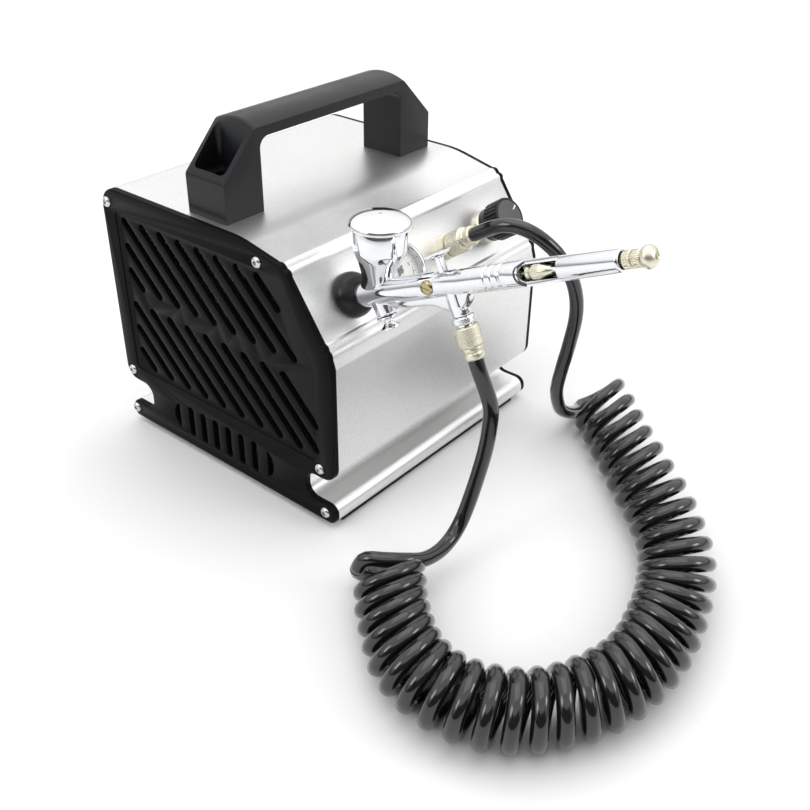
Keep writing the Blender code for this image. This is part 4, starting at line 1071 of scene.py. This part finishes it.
def gauge():
    base = on_panel(GAUGE_X, PANEL_ROW)
    body = [(0.0, 12.2), (0.6, 12.9), (2.4, 13.3), (6.4, 13.3), (7.5, 12.9)]
    body += [(8.1, 12.1), (8.0, 11.2), (7.2, 10.9), (7.2, 10.8)]
    bore = [(0.0, 4.0), (3.2, 4.0), (3.2, 10.8), (7.0, 10.8)]
    case = solid(turned(eased(body, 4, 0.5), base, PANEL_OUT, 112, bore), "gauge_body")
    finish_piece(case, "case", "bezel", "gauge_case", smooth=35.0)
    dial = solid(turned([(3.3, 10.75), (4.0, 10.75)], base, PANEL_OUT, 72), "gauge_card")
    finish_piece(dial, "case", "white", "gauge_dial")
    ticks = []
    for k in range(51):
        long = k % 5 == 0
        inner = 8.2 if long else 9.0
        half = 0.11 if long else 0.06
        outline = [(-half, inner), (half, inner), (half, 9.9), (-half, 9.9)]
        ticks.append(dial_mark(base, -135 + 270 * k / 50, outline, PRINT, PRINT + 0.03))
    marks = solid(many(ticks), "gauge_ticks")
    finish_piece(marks, "case", "ink")
    for k in range(6):
        angle = -135 + 54 * k
        label_figure(str(2 * k), f"gauge_figure_{k}", on_dial(base, angle, 6.6, PRINT), 2.2)
    warn = []
    for k in range(24):
        angle = 95 + 40 * k / 24
        patch = ((0, 7.7), (1.7, 7.7), (1.7, 8.05), (0, 8.05))
        corners = [on_dial(base, angle + turn, radius, PRINT) for turn, radius in patch]
        warn.append(skin([corners, [c + PANEL_OUT * 0.03 for c in corners]]))
    finish_piece(solid(many(warn), "gauge_red_band"), "case", "red")
    hub = turned(eased([(4.3, 1.5), (5.1, 1.45), (5.3, 0.8)], 3, 0.2), base, PANEL_OUT, 32)
    outline = [(-0.45, -2.6), (0.45, -2.6), (0.16, 8.4), (-0.16, 8.4)]
    hand = dial_mark(base, -135, outline, 4.5, 4.75)
    finish_piece(solid(many([hub, hand]), "gauge_hand"), "pressure_pointer", "ink", "gauge_needle")
    lens = [(6.2, 10.75), (6.6, 10.75), (6.9, 9.4), (7.15, 6.0), (7.25, 1.0)]
    window = solid(turned(eased(lens, 3, 1.0), base, PANEL_OUT, 72), "gauge_window")
    finish_piece(window, "case", "glass", "gauge_lens")


def regulator():
    base = on_panel(KNOB_X, PANEL_ROW)
    collar = [(0.0, 7.0), (0.4, 7.3), (2.2, 7.3), (2.8, 6.9), (3.0, 2.6), (9.6, 2.6)]
    nut = solid(turned(eased(collar, 3, 0.3), base, PANEL_OUT, 12), "regulator_collar")
    bevelled(nut, 0.25, 2, 20.0)
    finish_piece(nut, "case", "nickel", "regulator_valve", smooth=25.0)
    skirt = [(3.4, 7.6), (3.7, 8.0), (7.2, 8.1), (7.8, 8.4)]
    crown = [(16.7, 8.95), (17.0, 8.5), (17.05, 8.1), (16.7, 7.95), (16.7, 1.0)]
    profile = skirt + band(8.2, 16.2, 9.15, 0.5) + crown
    knob = solid(turned(profile, base, PANEL_OUT, 240, relief=ribs(28, 0.055)), "knob")
    finish_piece(knob, "pressure_knob", "knob", "regulator_knob", smooth=30.0)
    disc = eased([(16.0, 7.9), (16.85, 7.9), (16.95, 7.6), (16.8, 1.0)], 3, 0.2)
    face = solid(turned(disc, base, PANEL_OUT, 96), "knob_face")
    finish_piece(face, "pressure_knob", "knob_face")
    outline = [(-0.35, 4.4), (0.35, 4.4), (0.35, 7.4), (-0.35, 7.4)]
    mark = dial_mark(base, 62, outline, 16.6, 17.02)
    finish_piece(solid(mark, "knob_mark"), "pressure_knob", "mark")


def outlet():
    base = on_panel(OUTLET_X, PANEL_ROW)
    hexagon = solid(turned([(0.0, 6.4), (4.2, 6.4)], base, PANEL_OUT, 6), "outlet_hexagon")
    chamfer = [(-1.0, 6.1), (4.0, 6.1), (4.6, 5.4), (6.0, 5.4)]
    combine(hexagon, turned(chamfer, base, PANEL_OUT, 64), "INTERSECT")
    bevelled(hexagon, 0.2, 2, 25.0)
    finish_piece(hexagon, "case", "nickel", "outlet_fitting", smooth=25.0)
    profile = [(4.4, 4.6), (4.6, 5.2)] + band(5.2, 13.2, 5.65) + [(13.7, 5.3), (14.1, 4.9), (14.2, 4.3)]
    nut = solid(turned(profile, base, PANEL_OUT, 264, relief=diamond(30, 1.2, 0.05)), "outlet_nut")
    finish_piece(nut, "case", "nickel", "hose_nut_outlet", smooth=80.0)
    ferrule = [(14.0, 4.3), (14.4, 4.6), (15.2, 4.6), (15.5, 4.2), (16.0, 4.2)]
    ferrule += [(16.3, 4.55), (18.5, 4.45), (19.2, 4.1), (19.3, 3.3)]
    sleeve = solid(turned(eased(ferrule, 3, 0.2), base, PANEL_OUT, 64), "outlet_ferrule")
    finish_piece(sleeve, "case", "nickel")


# ---------------------------------------------------------------- airbrush


def brush_turned(profile, sides=96, bore=None, relief=None):
    return turned(profile, BRUSH_ORIGIN, BRUSH_AXIS, sides, bore, relief)


def down_turned(profile, along, sides=72, relief=None):
    return turned(profile, on_brush(along), -BRUSH_UP, sides, relief=relief)


def airbrush_body():
    shape = [(-2.8, 4.6), (-2.2, 5.2), (-1.2, NOSE_R), (18.0, NOSE_R), (34.0, NOSE_R - 0.1)]
    shape += [(56.0, BARREL_R)]
    for groove in (68.6, 71.8, 75.0):
        shape += [(groove, BARREL_R), (groove + 0.15, BARREL_R - 0.22), (groove + 0.4, BARREL_R - 0.22)]
        shape += [(groove + 0.55, BARREL_R)]
    shape += [(76.1, BARREL_R), (76.15, 4.6), (84.0, 4.3)]
    body = solid(brush_turned(eased(shape, 3, 0.3)), "barrel")
    well = [(42.4, 0.0), (43.0, -3.4), (54.0, -3.4), (55.0, 0.0), (55.0, 9.0), (42.4, 9.0)]
    combine(body, brush_slab(well, WELL_HALF))
    combine(body, turned([(4.6, 3.2), (9.0, 3.2)], on_brush(40.6, 0.6), (-1, 0, 0), 48))
    bevelled(body, 0.25, 3, 40.0)
    finish_piece(body, "airbrush", "chrome", "airbrush_body", smooth=45.0)

    edge = [(5.0, -2.0), (14.5, -5.4), (18.2, -7.3), (24.0, -7.6), (34.0, -7.5)]
    edge += [(40.0, -8.2), (44.0, -10.4), (46.0, -11.0), (53.0, -11.0), (55.6, -8.6)]
    edge += [(57.5, -5.6), (60.0, -3.0), (60.0, 0.0), (5.0, 0.0)]
    flank = [(3.0, 0.70), (2.8, 0.86), (2.1, 0.97), (1.0, 1.0)]
    sections = [(-side, share) for side, share in flank] + flank[::-1]
    rings = [[on_brush(t, u * share, side) for t, u in edge] for side, share in sections]
    web = solid(skin(rings), "barrel_keel")
    bevelled(web, 0.6, 3, 25.0)
    combine(web, brush_slab(well, WELL_HALF))
    finish_piece(web, "airbrush", "chrome", smooth=50.0)

    boss = [(2.7, 4.1), (9.0, 4.1), (11.6, 3.9), (12.8, 3.9), (13.0, 3.2)]
    finish_piece(solid(down_turned(eased(boss, 3, 0.3), VALVE_T), "valve_boss"), "airbrush", "chrome")
    boss = [(2.0, 4.6), (4.5, 4.4), (8.6, 4.2), (9.3, 3.9), (9.4, 2.0)]
    front = solid(down_turned(eased(boss, 3, 0.3), AIR_SCREW_T), "front_boss")
    finish_piece(front, "airbrush", "chrome")


def nozzle_cap():
    shape = [(-15.6, 1.6), (-15.9, 1.9), (-15.2, 2.4), (-14.0, 2.7)]
    shape += [(-9.6, 3.9), (-8.8, 4.5), (-4.0, 5.0), (-3.0, 4.9)]
    bore = [(-15.4, 1.1), (-3.0, 1.1)]
    cap = solid(brush_turned(eased(shape, 4, 0.4), 72, bore), "nose_cap")
    finish_piece(cap, "airbrush", "chrome", "nozzle_cap")


def ellipse(centre_y, z, radius, stretch):
    points = []
    for k in range(160):
        angle = 2 * math.pi * k / 160
        y = centre_y + radius * stretch * math.sin(angle)
        points.append((HOLDER_X + radius * math.cos(angle), y, z))
    return points


def cup():
    """The upright cup over a funnel that flares down into the barrel."""
    feed_y, feed_z = -12.6, 109.5
    floor = CUP_TOP - 10.4
    knots = [
        (0.00, 4.7, 1.75),
        (0.18, 4.6, 1.60),
        (0.34, 5.2, 1.36),
        (0.52, 6.6, 1.14),
        (0.70, 8.3, 1.04),
        (0.86, 9.9, 1.01),
        (0.95, 10.6, 1.00),
        (1.00, CUP_R, 1.00),
    ]
    rings = []
    for share, radius, stretch in spread(knots, 0.16):
        y, z = feed_y + (CUP_Y - feed_y) * share, feed_z + (floor - feed_z) * share
        rings.append(ellipse(y, z, radius, stretch))
    for z, radius in ((floor + 0.5, CUP_R + 0.05), (CUP_TOP - 0.4, CUP_R + 0.05), (CUP_TOP, CUP_R - 0.2)):
        rings.append(ellipse(CUP_Y, z, radius, 1.0))
    for z, radius in (
        (CUP_TOP, CUP_R - 0.7), (floor, CUP_R - 0.9), (floor - 6.0, 5.6), (floor - 11.0, 2.0),
    ):
        rings.append(ellipse(CUP_Y, z, radius, 1.0))
    vessel = solid(skin(rings), "paint_cup")
    finish_piece(vessel, "airbrush", "chrome", "cup", smooth=50.0)


def cup_lid():
    z = CUP_TOP - 0.35
    profile = [(z, LID_R - 1.2), (z + 0.05, LID_R - 0.3)] + band(z + 0.15, z + 0.95, LID_R, 0.2)
    for share in np.linspace(0.03, 0.95, 26):
        radius = (LID_R - 0.15) * math.cos(share * math.pi / 2)
        profile.append((z + 1.0 + 3.9 * math.sin(share * math.pi / 2), radius))
    profile += [(z + 4.92, 0.7), (z + 4.4, 0.65)]
    lid = solid(turned(profile, (HOLDER_X, CUP_Y, 0), (0, 0, 1), 360, relief=ribs(90, 0.025, 0.5)), "lid")
    finish_piece(lid, "lid", "chrome", "cup_lid", smooth=40.0)


def trigger():
    foot = [
        (TRIGGER_T - 1.5, 0.2), (TRIGGER_T + 1.5, 0.2), (TRIGGER_T + 1.2, 10.6), (TRIGGER_T - 1.4, 10.6),
    ]
    stem = solid(brush_slab(foot, WELL_HALF - 0.5), "trigger_stem")
    bevelled(stem, 0.3, 3)
    finish_piece(stem, "trigger", "chrome", "trigger")
    rings = []
    for k in range(25):
        share = k / 12 - 1
        side = 6.3 * math.sin(share * math.pi / 2)
        half = 0.4 + 3.6 * math.cos(share * math.pi / 2) ** 0.55
        rise = 1.3 * share * share
        ring = []
        for angle in np.linspace(0, 2 * math.pi, 24, endpoint=False):
            t = half * math.cos(angle)
            thick = 0.95 * math.sin(angle) * (0.35 + 0.65 * math.cos(share * math.pi / 2))
            saddle = 0.10 * t * t
            ring.append(on_brush(TRIGGER_T - 0.6 + t, 11.2 + thick + rise + saddle * 0.6 + 0.12 * t, side))
        rings.append(ring)
    pad = solid(skin(rings), "trigger_pad")
    finish_piece(pad, "trigger", "chrome", smooth=60.0)


def valve():
    stem = solid(
        down_turned([(1.0, 1.5), (4.0, 1.5), (4.0, 1.2), (8.0, 1.2)], TRIGGER_T, 32), "plunger_rod",
    )
    finish_piece(stem, "plunger", "steel", "valve_stem")
    profile = [(13.0, 3.4), (13.3, 4.2), (13.6, 4.6)] + band(13.8, 15.6, 4.75) + [
        (15.9, 4.5), (16.1, 4.0), (16.4, 3.3), (17.6, 3.3),
    ]
    collar = solid(down_turned(profile, VALVE_T, 240, relief=diamond(30, 0.9, 0.03)), "valve_collar")
    finish_piece(collar, "airbrush", "chrome", "air_valve", smooth=60.0)
    profile = [(17.3, 4.5), (17.6, 4.9)] + band(18.0, 25.0, 5.15) + [(25.5, 4.8), (25.9, 4.4), (26.0, 4.0)]
    nut = solid(down_turned(profile, VALVE_T, 240, relief=diamond(28, 1.2, 0.05)), "brush_nut")
    finish_piece(nut, "airbrush", "nickel", "hose_nut_airbrush", smooth=60.0)
    ferrule = [
        (25.8, 4.0),
        (26.2, 4.3),
        (27.2, 4.3),
        (27.6, 3.9),
        (28.2, 3.9),
        (28.5, 4.2),
        (30.4, 4.1),
        (31.0, 3.8),
        (31.1, 3.2),
    ]
    sleeve = solid(down_turned(eased(ferrule, 3, 0.2), VALVE_T), "brush_ferrule")
    finish_piece(sleeve, "airbrush", "nickel")


def air_screw():
    shape = [
        (6.0, 1.2),
        (9.7, 1.2),
        (9.8, 4.1),
        (10.1, 4.4),
        (10.7, 4.4),
        (11.0, 4.0),
        (11.2, 2.0),
        (12.6, 1.8),
        (13.8, 2.8),
    ]
    shape += [(14.6, 4.0), (15.0, 4.3), (15.3, 4.0), (15.3, 2.0)]
    obj = solid(down_turned(eased(shape, 3, 0.3), AIR_SCREW_T), "trim_screw")
    finish_piece(obj, "air_trim", "chrome", "air_screw")


def needle():
    shape = [(-15.5, 0.1), (-6.0, 0.55), (117.9, 0.55), (118.4, 0.4)]
    finish_piece(solid(brush_turned(shape, 20), "needle_rod"), "needle", "steel", "needle")
    shape = [(86.2, 2.4), (87.6, 2.4), (87.8, 1.9), (88.5, 1.9), (88.7, 2.6)] + band(88.9, 92.2, 2.85, 0.5)
    shape += [
        (92.5, 2.7),
        (96.6, 1.5),
        (97.0, 1.0),
        (99.4, 1.0),
        (99.6, 1.5),
        (100.8, 1.5),
        (101.0, 1.0),
        (102.2, 1.0),
    ]
    chuck = solid(brush_turned(shape, 144, relief=ribs(18, 0.09)), "chuck")
    finish_piece(chuck, "needle", "nickel", "needle_chuck", smooth=60.0)


def rear_handle():
    """A tapered tube, milled away on one side to show the chuck."""
    outer = [
        (76.3, 4.7),
        (76.4, 5.0),
        (84.0, 4.95),
        (124.6, TAIL_R + 0.1),
        (125.2, TAIL_R - 0.1),
        (125.4, TAIL_R - 0.6),
    ]
    bore = [(76.3, 4.3), (80.0, 3.3), (112.0, 3.1), (125.4, 3.1)]
    shell = solid(brush_turned(eased(outer, 3, 0.2), 96, bore), "tail_shell")
    facing = Vector((-0.967, 0.0, 0.0)) + BRUSH_UP * 0.253
    across = BRUSH_AXIS.cross(facing)
    milled = [(82.0, 6.2), (85.6, 1.0), (101.2, 1.0), (101.2, 9.0), (82.0, 9.0)]
    tool = [[on_brush(t) + facing * depth + across * width for t, depth in milled] for width in (-9.0, 9.0)]
    combine(shell, skin(tool))
    bevelled(shell, 0.16, 2, 40.0)
    finish_piece(shell, "airbrush", "chrome", "rear_handle", smooth=40.0)


def tail_knob():
    shape = [(121.5, 2.8), (126.3, 2.8), (126.5, 3.1)] + band(126.7, 129.2, 3.25, 0.5) + [
        (129.4, 3.0), (129.5, 2.5),
    ]
    shape += [(129.9, 2.5), (130.0, 3.0)] + band(130.2, 132.7, 3.25, 0.5) + [
        (132.9, 3.0), (133.0, 2.6), (133.3, 2.7),
    ]
    for turn in np.linspace(-0.62, 1.3, 18):
        shape.append((135.4 + 3.0 * math.sin(turn), 4.1 * math.cos(turn)))
    shape += [(138.2, 1.0), (136.6, 0.9)]
    obj = solid(brush_turned(shape, 192, relief=ribs(24, 0.09)), "tail_screw")
    finish_piece(obj, "needle_stop", "nickel", "tail_knob", smooth=60.0)


def side_screw():
    origin = on_brush(40.6, 0.6)
    shape = [(3.6, 3.0), (4.9, 3.0), (5.2, 2.9), (5.7, 2.4), (5.9, 1.2)]
    obj = solid(turned(eased(shape, 3, 0.3), origin, (-1, 0, 0), 48), "side_plug")
    combine(
        obj,
        box(
            (HOLDER_X - 7.0, HOLDER_X - 5.4),
            (origin.y - 2.2, origin.y + 2.2),
            (origin.z - 0.3, origin.z + 0.3),
        ),
    )
    finish_piece(obj, "airbrush", "brass", "side_screw")


# ---------------------------------------------------------------- other CAD nodes


def repaint(node, look):
    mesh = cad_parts[node].data
    for index in range(len(mesh.materials)):
        mesh.materials[index] = LOOKS[look]
    if not mesh.materials:
        mesh.materials.append(LOOKS[look])


def inner_pieces():
    # painted shade: the motor, cylinder and crank get near-black steel for the shade inside the closed case
    looks = {
        "shade_darkened_steel": (
            "motor_stator",
            "motor_frame",
            "cylinder",
            "cylinder_head",
            "motor_rotor",
            "crank_disc",
            "connecting_rod",
        ),
        "knob": ("cooling_fan", "power_inlet"),
        "copper": ("air_line",),
        "handle": ("power_rocker",),
    }
    for look, nodes in looks.items():
        for node in nodes:
            repaint(node, look)


# ---------------------------------------------------------------- studio


def studio():
    floor_bm = bmesh.new()
    bmesh.ops.create_grid(floor_bm, x_segments=8, y_segments=8, size=6000.0)
    floor = solid(floor_bm, "floor")
    made, tree, shader = shader_of("floor_paper", (0.80, 0.80, 0.80), 0.8)
    bump(tree, shader, noise(tree, 400, 3.0), 0.01)
    floor.data.materials.append(made)

    world = bpy.data.worlds.new("studio")
    bpy.context.scene.world = world
    world.use_nodes = True
    tree = world.node_tree
    background = tree.nodes["Background"]
    coordinates = tree.nodes.new("ShaderNodeTexCoord")
    parts = tree.nodes.new("ShaderNodeSeparateXYZ")
    tree.links.new(coordinates.outputs["Generated"], parts.inputs["Vector"])
    sky = tree.nodes.new("ShaderNodeValToRGB")
    tree.links.new(parts.outputs["Z"], sky.inputs["Fac"])
    elements = sky.color_ramp.elements
    elements[0].position, elements[0].color = 0.0, (0.30, 0.30, 0.31, 1.0)
    elements[1].position, elements[1].color = 1.0, (1.15, 1.15, 1.15, 1.0)
    for position, level in ((0.12, 0.52), (0.25, 1.06), (0.75, 1.38)):
        element = elements.new(position)
        element.color = (level, level, level, 1.0)
    side = tree.nodes.new("ShaderNodeVectorMath")
    side.operation = "DOT_PRODUCT"
    side.inputs[1].default_value = DARK_SIDE
    tree.links.new(coordinates.outputs["Generated"], side.inputs[0])
    around = ranged(tree, side.outputs["Value"], 0.0, 1.0, 0.45, 0.62)
    below = ranged(tree, parts.outputs["Z"], 1.0, 0.0, 0.56, 0.66)
    both = tree.nodes.new("ShaderNodeMath")
    both.operation = "MULTIPLY"
    tree.links.new(around, both.inputs[0])
    tree.links.new(below, both.inputs[1])
    room = tree.nodes.new("ShaderNodeMix")
    room.data_type = "RGBA"
    tree.links.new(both.outputs["Value"], room.inputs["Factor"])
    tree.links.new(sky.outputs["Color"], room.inputs[6])
    room.inputs[7].default_value = (0.10, 0.10, 0.105, 1.0)
    tree.links.new(room.outputs[2], background.inputs["Color"])
    background.inputs["Strength"].default_value = 1.0

    def lamp(name, place, aim, size, watts):
        data = bpy.data.lights.new(name, "AREA")
        data.shape = "RECTANGLE"
        data.size, data.size_y = size
        data.energy = watts
        obj = bpy.data.objects.new(name, data)
        obj.location = place
        obj.rotation_mode = "QUATERNION"
        obj.rotation_quaternion = (Vector(aim) - Vector(place)).to_track_quat("-Z", "Y")
        bpy.context.scene.collection.objects.link(obj)

    lamp("overhead", (0.1, 0.1, 1.3), (0.0, 0.0, 0.0), (1.2, 1.2), 5.0)
    lamp("left", (-1.1, 0.35, 0.75), (0.0, 0.0, 0.05), (0.5, 0.5), 3.0)
    lamp("right", (0.55, -1.2, 0.8), (0.0, -0.05, 0.05), (0.5, 0.4), 3.4)
    scene = bpy.context.scene
    scene.view_settings.view_transform = "Standard"


camera()
coil_route = hose()
hose_tail(coil_route)
case_shell()
end_plate("grille_left", -1)
end_plate("grille_right", 1)
plate_screws()
feet()
carry_handle()
holder_ring()
gauge()
regulator()
outlet()
airbrush_body()
nozzle_cap()
cup()
cup_lid()
trigger()
valve()
air_screw()
needle()
rear_handle()
tail_knob()
side_screw()
inner_pieces()
studio()
